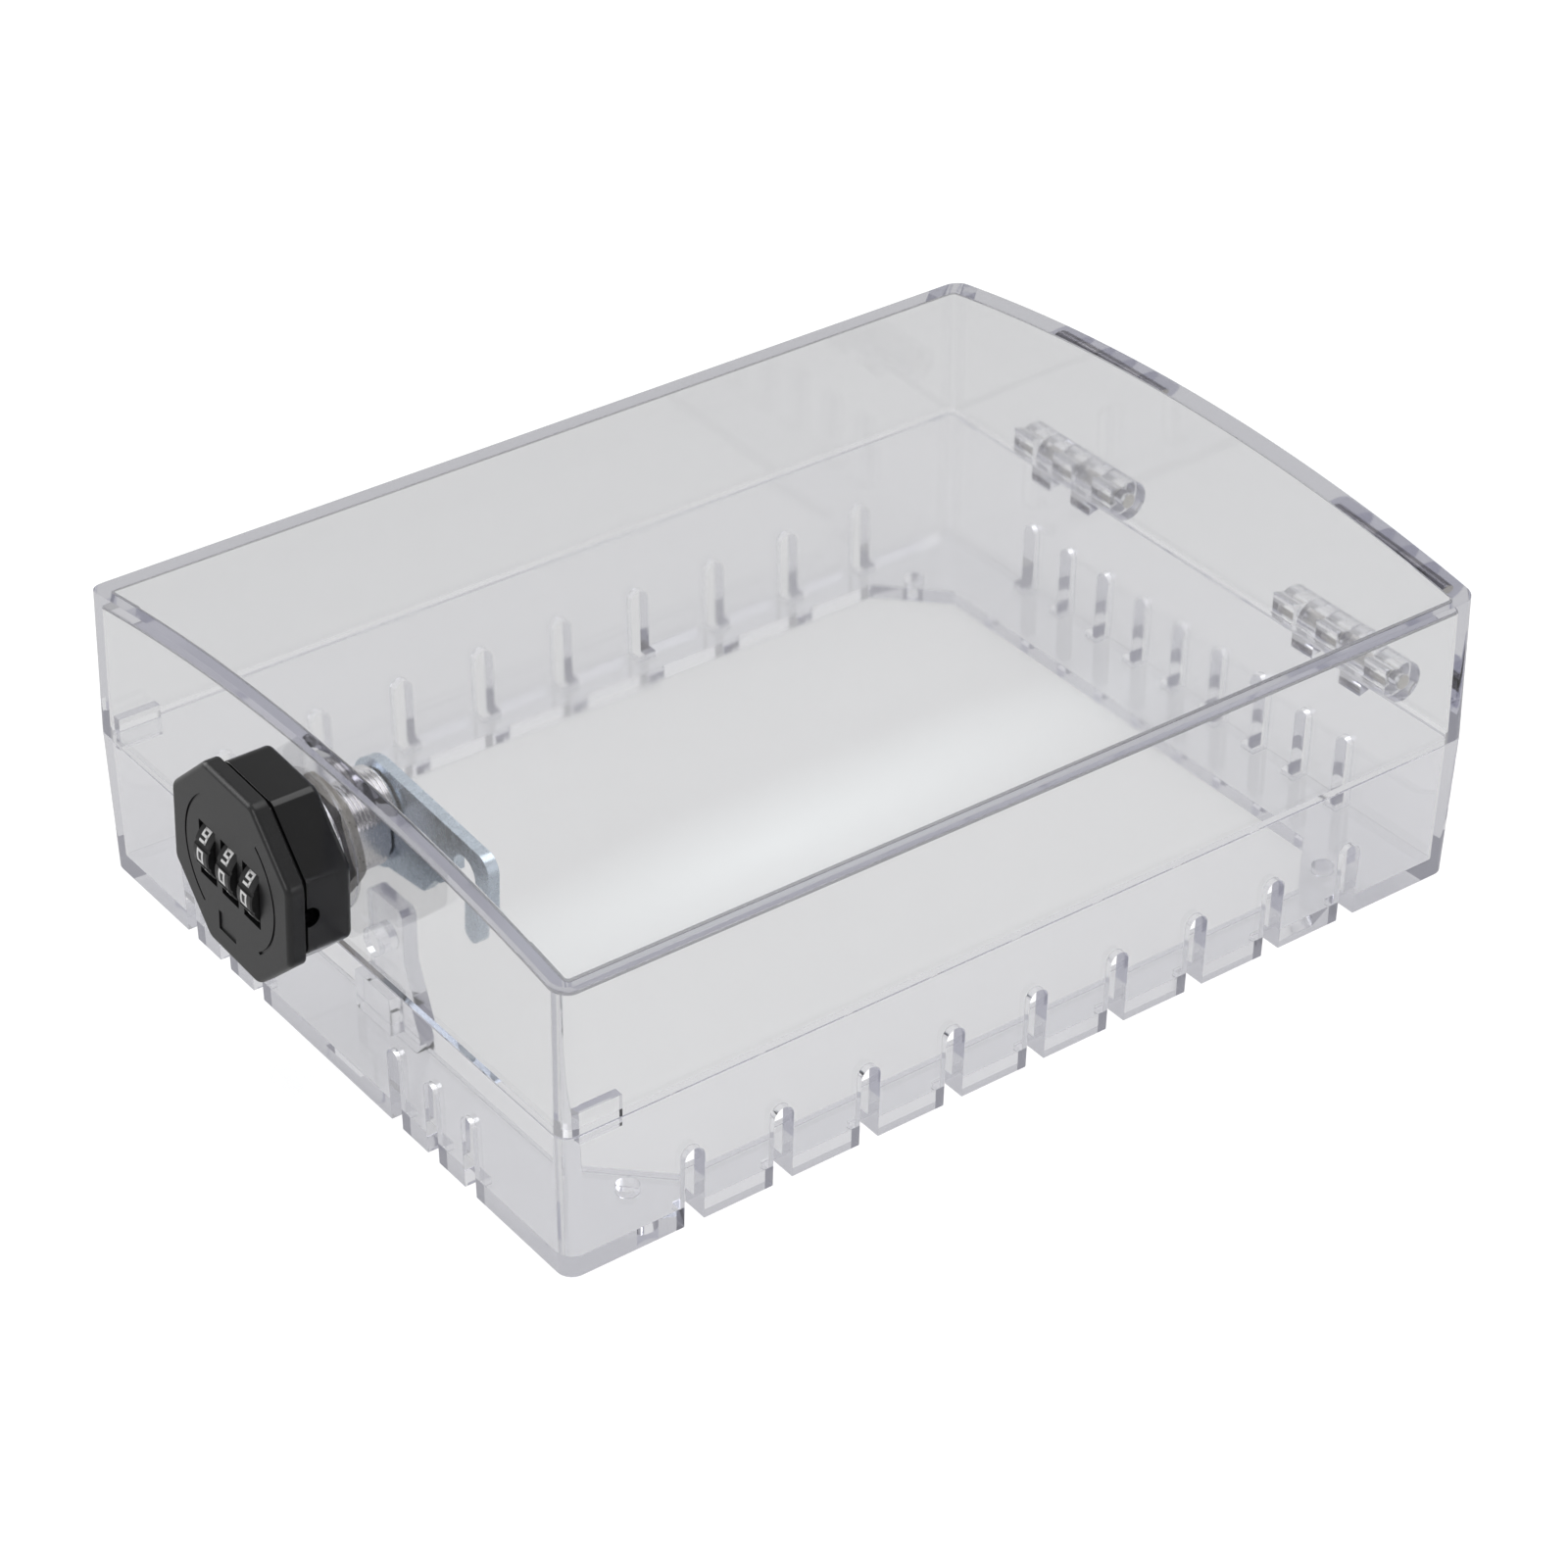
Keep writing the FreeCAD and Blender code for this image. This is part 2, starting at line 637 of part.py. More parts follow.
def make_cover():
    body = crowned_block("cover_shell", Size.of(0))
    core = crowned_block("cover_core", wall)
    hollow = body.newObject("PartDesign::Boolean", "cover_shell_hollow")
    hollow.Type = "Cut"
    hollow.setObjects([core])
    body.Tip = hollow
    doc.recompute()
    dress("Fillet", body, edges_by(body, corner_column(half_length, half_width, 1.5)), corner_radius)
    low_edge = (parting + cover_side_height - 1.5).value

    def on_top_loop(edge):
        ends = [vertex.Point for vertex in edge.Vertexes]
        middle = edge.valueAt((edge.FirstParameter + edge.LastParameter) / 2)
        if min(end.z for end in ends) < low_edge:
            return False
        return abs(middle.x) > (half_length - 1.2).value or abs(middle.y) > (half_width - 1.2).value \
            or (abs(middle.x) > (half_length - corner_radius).value
                and abs(middle.y) > (half_width - corner_radius).value)
    dress("Fillet", body, edges_by(body, on_top_loop), edge_radius)
    dress("Fillet", body, edges_by(body, corner_column(half_length - wall, half_width - wall, 1.5)), inner_radius)

    sketch = start_sketch(body, "YZ_Plane", -half_length)
    circle(sketch, 0, lock_height, barrel_flange_radius)
    pad(body, sketch, wall / 2)
    sketch = start_sketch(body, "YZ_Plane", lock_seat - half_length)
    circle(sketch, 0, lock_height, washer_radius)
    pad(body, sketch, wall / 2, reverse=True)
    sketch = start_sketch(body, "YZ_Plane", -half_length - wall)
    barrel_section(sketch, barrel_radius + panel_play, barrel_flat + panel_play, lock_height)
    pocket(body, sketch, lock_seat + wall * 2, reverse=True)

    inner_y = half_width - wall - tab_play
    tab_start = wall + inner_radius - half_length
    for reach, low, height in ((inner_y, parting - tab_drop, tab_drop + wall), (half_width - wall / 2, parting, wall)):
        sketch = start_sketch(body, "XY_Plane", low)
        rectangle(sketch, tab_start, tab_start + tab_length, inner_y - tab_thickness, reach)
        rectangle(sketch, tab_start, tab_start + tab_length, -reach, tab_thickness - inner_y)
        pad(body, sketch, height)
    add_knuckles(body, knuckle_ends((-2, 0, 2)), upward=True)
    return body


def barrel_section(sketch, radius, flat, height=0):
    """A circle with two upright flats, left and right."""
    rise = root(radius * radius - flat * flat)
    outline(sketch, [(flat, height - rise), (flat, height + rise, radius, -1, False),
                     (-flat, height + rise), (-flat, height - rise, radius, -1, False)])


def make_hinge_pins():
    pins = []
    for number, side in ((1, -1), (2, 1)):
        body = start_body("hinge_pin_%d" % number)
        reach = knuckle_length * 2.5
        sketch = start_sketch(body, "XZ_Plane", -(hinge_spread * side - reach))
        circle(sketch, hinge_x, hinge_z, pin_radius)
        pad(body, sketch, reach * 2, reverse=True)
        pins.append(body)
    return pins


# The lock has its own frame: x to the right and y up as seen from outside, z outwards from the cover's wall
lock_axes = Rotation(Vector(0, -1, 0), Vector(0, 0, 1), Vector(-1, 0, 0), "ZXY")


def lock_part(label, turn=0.0):
    body = start_body(label)
    spin = Rotation(Vector(0, 0, 1), -Size.of(turn).value)
    body.Placement = Placement(Vector(0, 0, 0), lock_axes * spin)
    bind(body, "Placement.Base.x", -half_length)
    bind(body, "Placement.Base.z", lock_height)
    return body


def make_barrel():
    body = lock_part("lock_barrel")
    sketch = start_sketch(body, "XY_Plane")
    circle(sketch, 0, 0, barrel_flange_radius)
    pad(body, sketch, barrel_flange)
    sketch = start_sketch(body, "XY_Plane")
    barrel_section(sketch, barrel_radius, barrel_flat)
    pad(body, sketch, barrel_reach, reverse=True)
    sketch = start_sketch(body, "XY_Plane", barrel_flange)
    circle(sketch, 0, 0, spindle_radius + spindle_play)
    pocket(body, sketch, barrel_flange + barrel_reach + 1)
    half = notch_width / 2
    inner = pawl_inner - 0.6
    outer = barrel_flange_radius + 1
    sketch = start_sketch(body, "XY_Plane", barrel_flange)
    rectangle(sketch, -half, half, -outer, -inner)
    pocket(body, sketch, notch_depth)
    sketch = start_sketch(body, "XY_Plane", barrel_flange)
    rectangle(sketch, -outer, -inner, -half, half)
    pocket(body, sketch, notch_depth)
    return body


def make_washer():
    body = lock_part("nut_washer")
    sketch = start_sketch(body, "XY_Plane", washer_front)
    circle(sketch, 0, 0, washer_radius)
    circle(sketch, 0, 0, barrel_radius + panel_play)
    pad(body, sketch, washer_thickness, reverse=True)
    return body


def make_nut():
    body = lock_part("barrel_nut", nut_turn)
    side = nut_flats / 2 * math.tan(math.radians(30))
    half = nut_flats / 2
    sketch = start_sketch(body, "XY_Plane", nut_front)
    outline(sketch, [(side * 2, 0), (side, half), (-side, half), (side * -2, 0), (-side, -half), (side, -half)])
    circle(sketch, 0, 0, barrel_radius + thread_play)
    pad(body, sketch, nut_thickness, reverse=True)
    return body


def make_spindle():
    body = lock_part("spindle", knob_rest_turn)
    sketch = start_sketch(body, "XY_Plane", knob_back)
    circle(sketch, 0, 0, spindle_flange_radius)
    pad(body, sketch, spindle_flange)
    sketch = start_sketch(body, "XY_Plane", knob_back)
    rectangle(sketch, -lug_half_width, lug_half_width, 0, lug_reach)
    pad(body, sketch, spindle_flange)
    sketch = start_sketch(body, "XY_Plane", knob_back)
    circle(sketch, 0, 0, spindle_radius)
    pad(body, sketch, knob_back - cam_front, reverse=True)
    sketch = start_sketch(body, "XY_Plane", cam_front)
    rectangle(sketch, -cam_square / 2, cam_square / 2, -cam_square / 2, cam_square / 2)
    pad(body, sketch, cam_thickness - 0.2, reverse=True)
    sketch = start_sketch(body, "XY_Plane", cam_back)
    circle(sketch, 0, 0, cam_screw_shank + thread_play)
    pocket(body, sketch, cam_screw_depth + cam_thickness, reverse=True)
    sketch = start_sketch(body, "XY_Plane", knob_back)
    for side in (-1, 1):
        circle(sketch, lug_screw_x * side, lug_screw_y, small_screw_head + seat_play)
    pocket(body, sketch, spindle_flange / 2, reverse=True)
    sketch = start_sketch(body, "XY_Plane", knob_back)
    for side in (-1, 1):
        circle(sketch, lug_screw_x * side, lug_screw_y, small_screw_radius + thread_play)
    pocket(body, sketch, spindle_flange, reverse=True)
    return body


def make_cam():
    """A flat stamping: round hub, straight arm, and a leg that leaves a slot open downwards for the peg."""
    body = lock_part("hook_cam", knob_rest_turn)
    leg_inner = cam_leg_outer - cam_leg_width
    crown = 3.0
    tip = cam_leg_width / 2
    slot_radius = (leg_inner - cam_slot_inner) / 2
    hub_top = cam_hub_radius
    throat = 0.6
    lobe_x = cam_slot_inner - 6
    sketch = start_sketch(body, "XY_Plane", cam_front)
    outline(sketch, [
        (0, hub_top), (cam_leg_outer - crown, cam_arm_top, crown, 1, False), (cam_leg_outer, cam_arm_top - crown),
        (cam_leg_outer, tip - cam_leg_drop, None, 1, False), (leg_inner, tip - cam_leg_drop),
        (leg_inner, cam_slot_top - slot_radius, None, -1, False),
        (cam_slot_inner, cam_slot_top - slot_radius), (cam_slot_inner, throat),
        (cam_slot_inner - 2.5, throat - 1.2), (lobe_x, -cam_arm_bottom),
        (cam_hub_radius * 0.6, -cam_hub_radius * 0.8, cam_hub_radius, 1, True)])
    square = (cam_square / 2 + cam_square_play)
    rectangle(sketch, -square, square, -square, square)
    pad(body, sketch, cam_thickness, reverse=True)
    return body


def make_cam_washer():
    body = lock_part("cam_washer", knob_rest_turn)
    sketch = start_sketch(body, "XY_Plane", cam_back)
    circle(sketch, 0, 0, cam_washer_radius)
    circle(sketch, 0, 0, cam_screw_shank + seat_play * 3)
    pad(body, sketch, cam_washer_thickness, reverse=True)
    return body


def revolve(body, sketch, axis_role):
    feature = body.newObject("PartDesign::Revolution", body.Label + "_turned")
    feature.Profile = sketch
    feature.ReferenceAxis = (origin_part(body, axis_role), [""])
    feature.Angle = 360
    body.Tip = feature
    sketch.Visibility = False
    doc.recompute()
    return feature


def make_cam_screw():
    """Domed head and shank, turned about the lock's axis."""
    body = lock_part("cam_screw", knob_rest_turn)
    head_end = cam_screw_seat - cam_screw_head_height
    rim = cam_screw_seat - cam_screw_head_height * 0.35
    rise = cam_screw_head_height * 0.65
    dome = (cam_screw_head * cam_screw_head + rise * rise) / (rise * 2)
    tip = cam_screw_seat + cam_screw_depth + cam_thickness
    sketch = start_sketch(body, "XZ_Plane")
    outline(sketch, [(0, head_end, dome, -1, False), (cam_screw_head, rim), (cam_screw_head, cam_screw_seat),
                     (cam_screw_shank, cam_screw_seat), (cam_screw_shank, tip - 0.6), (cam_screw_shank - 0.6, tip),
                     (0, tip)])
    revolve(body, sketch, "Z_Axis")
    sketch = start_sketch(body, "XY_Plane", head_end)
    recess = cam_screw_head * 0.55
    slit = cam_screw_head * 0.1
    outline(sketch, [(-recess, -slit), (-slit, -slit), (-slit, -recess), (slit, -recess), (slit, -slit),
                     (recess, -slit), (recess, slit), (slit, slit), (slit, recess), (-slit, recess),
                     (-slit, slit), (-recess, slit)])
    pocket(body, sketch, cam_screw_head_height * 0.5, reverse=True)
    return body


def make_housing():
    body = lock_part("knob_housing", knob_rest_turn)
    sketch = start_sketch(body, "XY_Plane", knob_back)
    octagon(sketch, housing_half)
    pad(body, sketch, housing_front - knob_back)
    dress("Fillet", body, edges_by(body, upright(lambda ends: True)), knob_corner_radius)
    back = knob_back
    dress("Chamfer", body, edges_where(body, lambda point: close(point.z, back)), seat_play * 10)
    sketch = start_sketch(body, "XY_Plane", housing_front)
    octagon(sketch, groove_half)
    pad(body, sketch, groove_length)

    sketch = start_sketch(body, "XY_Plane", face_back)
    outline(sketch, [(-cavity_side, -dial_radius - dial_clearance), (-bar_half_width(), -dial_radius - dial_clearance),
                     (-bar_half_width(), -cavity_bottom), (bar_half_width(), -cavity_bottom),
                     (bar_half_width(), -dial_radius - dial_clearance), (cavity_side, -dial_radius - dial_clearance),
                     (cavity_side, cavity_top), (-cavity_side, cavity_top)])
    pocket(body, sketch, face_back - cavity_floor)

    sketch = start_sketch(body, "XY_Plane", knob_back)
    circle(sketch, 0, 0, spindle_flange_radius + seat_play)
    pocket(body, sketch, spindle_flange, reverse=True)
    sketch = start_sketch(body, "XY_Plane", knob_back)
    rectangle(sketch, -lug_half_width - seat_play, lug_half_width + seat_play, 0, lug_reach + seat_play)
    pocket(body, sketch, spindle_flange, reverse=True)
    sketch = start_sketch(body, "XY_Plane", knob_back)
    rectangle(sketch, -pawl_half_width - dial_clearance, pawl_half_width + dial_clearance,
              -barrel_flange_radius - dial_clearance, -pawl_inner + dial_clearance)
    pocket(body, sketch, cavity_floor - knob_back, reverse=True)

    sketch = start_sketch(body, "YZ_Plane", housing_half)
    circle(sketch, 0, dial_depth, reset_hole_radius)
    pocket(body, sketch, housing_half - cavity_side - reset_bearing)
    sketch = start_sketch(body, "YZ_Plane", housing_half)
    circle(sketch, 0, dial_depth, axle_radius + axle_play)
    pocket(body, sketch, housing_half * 2 - wall_left_of_spring())

    sketch = start_sketch(body, "XY_Plane", knob_back)
    for x, y in face_screw_places():
        circle(sketch, x, y, small_screw_head + seat_play)
    pocket(body, sketch, small_screw_head, reverse=True)
    sketch = start_sketch(body, "XY_Plane", knob_back)
    for x, y in face_screw_places():
        circle(sketch, x, y, small_screw_radius + thread_play)
    pocket(body, sketch, face_back - knob_back, reverse=True)
    sketch = start_sketch(body, "XY_Plane", knob_back + spindle_flange)
    for side in (-1, 1):
        circle(sketch, lug_screw_x * side, lug_screw_y, small_screw_radius + thread_play)
    pocket(body, sketch, wall * 2, reverse=True)
    return body


def wall_left_of_spring():
    """What is left of the housing beyond the blind end of the axle's bore."""
    return housing_half - cavity_side - dial_clearance - reset_spring_length - reset_bearing / 4


def bar_half_width():
    return dial_pitch + dial_width / 2 + finger_width + dial_clearance * 2


def face_screw_places():
    upper = (housing_half - 8.6, housing_half - 4.9)
    lower = (housing_half - 4.8, -housing_half + 9.1)
    return [(x * side, y) for x, y in (upper, lower) for side in (-1, 1)]


def make_face():
    body = lock_part("knob_face", knob_rest_turn)
    sketch = start_sketch(body, "XY_Plane", face_back)
    octagon(sketch, face_half)
    pad(body, sketch, face_thickness)
    dress("Fillet", body, edges_by(body, upright(lambda ends: True)), knob_corner_radius)
    dress("Chamfer", body, edges_where(body, lambda point: close(point.z, knob_front)), face_bevel)
    sketch = start_sketch(body, "XY_Plane", knob_front)
    for number in dial_numbers:
        middle = dial_pitch * (number - 2)
        rectangle(sketch, middle - window_width / 2, middle + window_width / 2,
                  -window_half_height, window_half_height)
    pocket(body, sketch, face_thickness)
    for number in dial_numbers:
        middle = dial_pitch * (number - 2)
        sketch = start_sketch(body, "YZ_Plane", middle - window_width / 2)
        circle(sketch, 0, dial_depth, dial_radius + dial_clearance)
        pocket(body, sketch, window_width, reverse=True)
    sketch = start_sketch(body, "YZ_Plane", -cavity_side)
    circle(sketch, 0, dial_depth, sleeve_flange_radius + dial_clearance)
    pocket(body, sketch, cavity_side * 2, reverse=True)
    for side in (-1, 1):
        sketch = start_sketch(body, "XY_Plane", knob_front)
        ring = housing_half - wall
        ends = math.radians(52)
        inner = ring - dial_groove
        outline(sketch, [
            (ring * side * math.cos(ends), ring * math.sin(-ends), ring, -side, False),
            (ring * side * math.cos(ends), ring * math.sin(ends)),
            (inner * side * math.cos(ends), inner * math.sin(ends), inner, side, False),
            (inner * side * math.cos(ends), inner * math.sin(-ends))])
        pocket(body, sketch, dial_groove)
    sketch = start_sketch(body, "XY_Plane", face_back)
    for x, y in face_screw_places():
        circle(sketch, x, y, small_screw_radius + thread_play)
    pocket(body, sketch, face_thickness / 2, reverse=True)
    return body


def make_screws(label, places, head_seat, head_height, shank):
    """Identical small screws in one node: pan heads behind, shanks towards the knob's front."""
    solids = []
    for x, y in places:
        spot = value_of((x, y))
        base = spot + Vector(0, 0, Size.of(head_seat - head_height).value)
        head = Part.makeCylinder(Size.of(small_screw_head).value, Size.of(head_height).value, base)
        rod = Part.makeCylinder(Size.of(small_screw_radius).value, Size.of(shank).value,
                                spot + Vector(0, 0, Size.of(head_seat).value))
        slot = Part.makeBox(Size.of(small_screw_head).value * 1.4, 0.4, Size.of(head_height).value * 0.4,
                            base - Vector(Size.of(small_screw_head).value * 0.7, 0.2, 0))
        solids.append(head.fuse(rod).cut(slot).removeSplitter())
    feature = doc.addObject("Part::Feature", label)
    feature.Label = label
    feature.Shape = Part.makeCompound(solids)
    spin = Rotation(Vector(0, 0, 1), -knob_rest_turn.value)
    feature.Placement = Placement(Vector(-half_length.value, 0, lock_height.value), lock_axes * spin)
    return feature


def make_dial(number):
    """A ring with ten faces for its numbers, parted by round grooves, and a counterbore for its sleeve."""
    body = lock_part("dial_%d" % number, knob_rest_turn)
    middle = dial_pitch * (number - 2)
    sketch = start_sketch(body, "YZ_Plane", middle - dial_width / 2)
    circle(sketch, 0, dial_depth, dial_radius)
    circle(sketch, 0, dial_depth, dial_bore)
    pad(body, sketch, dial_width)
    sketch = start_sketch(body, "YZ_Plane", middle + dial_width / 2)
    circle(sketch, 0, dial_depth, dial_counterbore)
    pocket(body, sketch, dial_counterbore_depth)
    sketch = start_sketch(body, "YZ_Plane", middle - dial_width / 2)
    for step in range(10):
        angle = math.radians(18 + 36 * step)
        circle(sketch, dial_radius * math.sin(angle), dial_depth + dial_radius * math.cos(angle), dial_groove)
    pocket(body, sketch, dial_width, reverse=True)
    return body


def make_sleeve(number):
    """The code sleeve: a tube in the dial's bore and a flange with one flat gate at its back."""
    body = lock_part("sleeve_%d" % number, knob_rest_turn)
    middle = dial_pitch * (number - 2)
    flange_start = middle + dial_width / 2 + sleeve_gap
    flange_end = flange_start + sleeve_flange
    tube_start = flange_end + sleeve_gap - dial_pitch
    sketch = start_sketch(body, "YZ_Plane", tube_start)
    circle(sketch, 0, dial_depth, sleeve_radius)
    circle(sketch, 0, dial_depth, axle_radius + axle_play)
    pad(body, sketch, flange_end - tube_start)
    rise = root(sleeve_flange_radius * sleeve_flange_radius - sleeve_gate * sleeve_gate)
    sketch = start_sketch(body, "YZ_Plane", flange_start)
    outline(sketch, [(-rise, dial_depth - sleeve_gate), (rise, dial_depth - sleeve_gate, sleeve_flange_radius, -1, True)])
    circle(sketch, 0, dial_depth, axle_radius + axle_play)
    pad(body, sketch, sleeve_flange)
    return body


def make_reset_axle():
    body = lock_part("reset_axle", knob_rest_turn)
    left = -cavity_side - dial_clearance * 3
    right = cavity_side + reset_bearing
    sketch = start_sketch(body, "YZ_Plane", left)
    circle(sketch, 0, dial_depth, axle_radius)
    pad(body, sketch, right - left)
    sleeve_end = dial_pitch + dial_width / 2 + sleeve_gap + sleeve_flange
    sketch = start_sketch(body, "YZ_Plane", sleeve_end + sleeve_gap / 2)
    circle(sketch, 0, dial_depth, axle_collar_radius)
    pad(body, sketch, axle_collar)
    return body


def make_reset_spring():
    body = lock_part("reset_spring", knob_rest_turn)
    sketch = start_sketch(body, "YZ_Plane", -cavity_side - dial_clearance * 3 - seat_play)
    circle(sketch, 0, dial_depth, axle_radius)
    circle(sketch, 0, dial_depth, axle_radius - spring_wire)
    pad(body, sketch, reset_spring_length - dial_clearance * 2, reverse=True)
    return body


def make_lock_bar():
    """A comb: three fingers beside the dials and a pawl that reaches back to the barrel's notches."""
    body = lock_part("lock_bar", knob_rest_turn)
    half = bar_half_width() - dial_clearance
    bottom = -cavity_bottom + dial_clearance
    corners = [(-half, bottom), (half, bottom), (half, -bar_top)]
    for number in reversed(dial_numbers):
        left = dial_pitch * (number - 2) + dial_width / 2 + dial_clearance
        corners += [(left + finger_width, -bar_top), (left + finger_width, finger_top),
                    (left, finger_top), (left, -bar_top)]
    corners += [(-half, -bar_top)]
    corners.pop(2)
    corners.insert(2, (half, -bar_top))
    sketch = start_sketch(body, "XY_Plane", bar_back)
    outline(sketch, corners)
    pad(body, sketch, bar_thickness)
    sketch = start_sketch(body, "XY_Plane", bar_back)
    rectangle(sketch, -pawl_half_width, pawl_half_width, -barrel_flange_radius, -pawl_inner)
    pad(body, sketch, bar_back - pawl_tip, reverse=True)
    return body


def make_bar_springs():
    """Two compression springs between the bar and the back of the face, as one node."""
    solids = []
    low = Size.of(bar_front + seat_play).value
    high = Size.of(face_back - seat_play).value
    drop = Size.of((bar_top + cavity_bottom) / -2).value
    for side in (-1, 1):
        spot = Vector(bar_spring_x.value * side, drop, low)
        outer = Part.makeCylinder(bar_spring_radius.value, high - low, spot)
        inner = Part.makeCylinder((bar_spring_radius - spring_wire).value, high - low, spot)
        solids.append(outer.cut(inner))
    feature = doc.addObject("Part::Feature", "bar_springs")
    feature.Label = "bar_springs"
    feature.Shape = Part.makeCompound(solids)
    spin = Rotation(Vector(0, 0, 1), -knob_rest_turn.value)
    feature.Placement = Placement(Vector(-half_length.value, 0, lock_height.value), lock_axes * spin)
    return feature


def make_detent_spring():
    """A leaf under the housing's top wall with a finger bent down on each dial."""
    body = lock_part("detent_spring", knob_rest_turn)
    top = cavity_top - seat_play
    back = cavity_floor + seat_play
    bend = dial_depth - 1.6
    tip_y = dial_radius + dial_clearance
    half = dial_pitch + leaf_finger_width / 2
    sketch = start_sketch(body, "YZ_Plane", -half)
    outline(sketch, [(top - leaf_thickness, back), (top, back), (top, bend), (top - leaf_thickness, bend)])
    pad(body, sketch, half * 2)
    for number in dial_numbers:
        sketch = start_sketch(body, "YZ_Plane", dial_pitch * (number - 2) - leaf_finger_width / 2)
        outline(sketch, [(top - leaf_thickness, bend - 1), (top, bend - 1), (top, bend),
                         (tip_y + leaf_thickness, dial_depth), (tip_y + leaf_thickness, dial_depth + 1.2),
                         (tip_y, dial_depth + 1.2), (tip_y, dial_depth)])
        pad(body, sketch, leaf_finger_width)
    return body


def make_all():
    pieces = [make_base(), make_cover()]
    pieces += make_hinge_pins()
    pieces += [make_barrel(), make_washer(), make_nut(), make_spindle(), make_cam(), make_cam_washer(),
               make_cam_screw(), make_housing(), make_face()]
    pieces += [make_dial(number) for number in dial_numbers]
    pieces += [make_sleeve(number) for number in dial_numbers]
    pieces += [make_reset_axle(), make_reset_spring(), make_lock_bar(), make_bar_springs(), make_detent_spring()]
    shank = face_thickness / 2 + face_back - knob_back - small_screw_head - seat_play * 4
    pieces.append(make_screws("face_screws", face_screw_places(), knob_back + small_screw_head, small_screw_head,
                              shank))
    lug_places = [(lug_screw_x * side, lug_screw_y) for side in (-1, 1)]
    pieces.append(make_screws("spindle_screws", lug_places, knob_back + spindle_flange / 2, spindle_flange / 2,
                              wall * 2))
    return pieces


pieces = make_all()
doc.recompute()
for item in doc.Objects:
    if "Invalid" in item.State or "Error" in item.State:
        raise RuntimeError("%s failed: %s" % (item.Name, item.State))
os.makedirs("parts", exist_ok=True)
for piece in pieces:
    shape = piece.Shape
    if shape.isNull() or not shape.isValid() or not shape.Solids:
        raise RuntimeError("%s has no sound shape" % piece.Label)
    shape.exportStep("parts/%s.step" % piece.Label)
    print("%-16s solids %d volume %.1f" % (piece.Label, len(shape.Solids), shape.Volume))
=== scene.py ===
import math
import bpy
from mathutils import Matrix, Vector


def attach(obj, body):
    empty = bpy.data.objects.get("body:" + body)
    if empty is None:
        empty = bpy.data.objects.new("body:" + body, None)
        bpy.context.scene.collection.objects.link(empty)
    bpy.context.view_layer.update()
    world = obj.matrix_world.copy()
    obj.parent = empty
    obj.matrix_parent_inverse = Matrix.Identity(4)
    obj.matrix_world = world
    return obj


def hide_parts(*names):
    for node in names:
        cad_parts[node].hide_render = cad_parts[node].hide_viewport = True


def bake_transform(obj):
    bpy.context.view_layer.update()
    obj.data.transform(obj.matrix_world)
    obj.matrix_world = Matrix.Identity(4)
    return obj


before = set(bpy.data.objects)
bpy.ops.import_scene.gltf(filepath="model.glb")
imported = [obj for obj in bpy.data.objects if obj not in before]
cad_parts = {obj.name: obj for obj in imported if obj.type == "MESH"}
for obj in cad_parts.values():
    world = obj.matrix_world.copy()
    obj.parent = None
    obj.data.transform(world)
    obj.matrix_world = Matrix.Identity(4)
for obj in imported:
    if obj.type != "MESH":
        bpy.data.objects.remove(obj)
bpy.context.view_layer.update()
mm = 0.001

# Base frame: one injection moulding in clear polycarbonate, screwed flat to the wall round the thermostat.
# Drafted 3 mm walls, an inner flange with an eight-sided opening, vent slots open at the back edge,
# the lower hinge knuckles, and a small post with a peg that the hook cam turns behind.


def clear_selection():
    if bpy.context.object and bpy.context.object.mode != "OBJECT":
        bpy.ops.object.mode_set(mode="OBJECT")
    bpy.ops.object.select_all(action="DESELECT")


def pick(piece):
    clear_selection()
    piece.select_set(True)
    bpy.context.view_layer.objects.active = piece


def settle(piece, place=None):
    """Puts the object's place into its mesh, so that the object itself sits at the origin."""
    if place is not None:
        piece.matrix_world = place @ piece.matrix_world
    pick(piece)
    bpy.ops.object.transform_apply(location=True, rotation=True, scale=True)


def block(name, low, high):
    """A block between two corners, in millimetres."""
    clear_selection()
    middle = [(a + b) / 2 * mm for a, b in zip(low, high)]
    bpy.ops.mesh.primitive_cube_add(size=1, location=middle)
    piece = bpy.context.object
    piece.name = name
    piece.scale = [(b - a) * mm for a, b in zip(low, high)]
    settle(piece)
    return piece


def rod(name, radius, start, end, sides=64, top=None):
    """A round bar between two points, in millimetres; top is the far end's radius."""
    clear_selection()
    start, end = Vector(start) * mm, Vector(end) * mm
    length = (end - start).length
    bpy.ops.mesh.primitive_cone_add(vertices=sides, radius1=radius * mm,
                                    radius2=(radius if top is None else top) * mm, depth=length)
    piece = bpy.context.object
    piece.name = name
    piece.matrix_world = Matrix.Translation((start + end) / 2) @ (end - start).to_track_quat("Z", "Y").to_matrix().to_4x4()
    settle(piece)
    return piece


def combine(piece, tool, how):
    """Boolean with another closed piece, which is used up."""
    pick(piece)
    modifier = piece.modifiers.new("combine", "BOOLEAN")
    modifier.operation = how
    modifier.solver = "EXACT"
    modifier.object = tool
    bpy.ops.object.modifier_apply(modifier=modifier.name)
    bpy.data.objects.remove(tool)


def choose_edges(piece, test):
    """Selects in edit mode the edges whose two ends pass the test, given in millimetres."""
    pick(piece)
    mesh = piece.data
    bpy.ops.object.mode_set(mode="EDIT")
    bpy.ops.mesh.select_mode(type="EDGE")
    bpy.ops.mesh.select_all(action="DESELECT")
    bpy.ops.object.mode_set(mode="OBJECT")
    for edge in mesh.edges:
        ends = [mesh.vertices[v].co / mm for v in edge.vertices]
        edge.select = test(*ends)
    bpy.ops.object.mode_set(mode="EDIT")


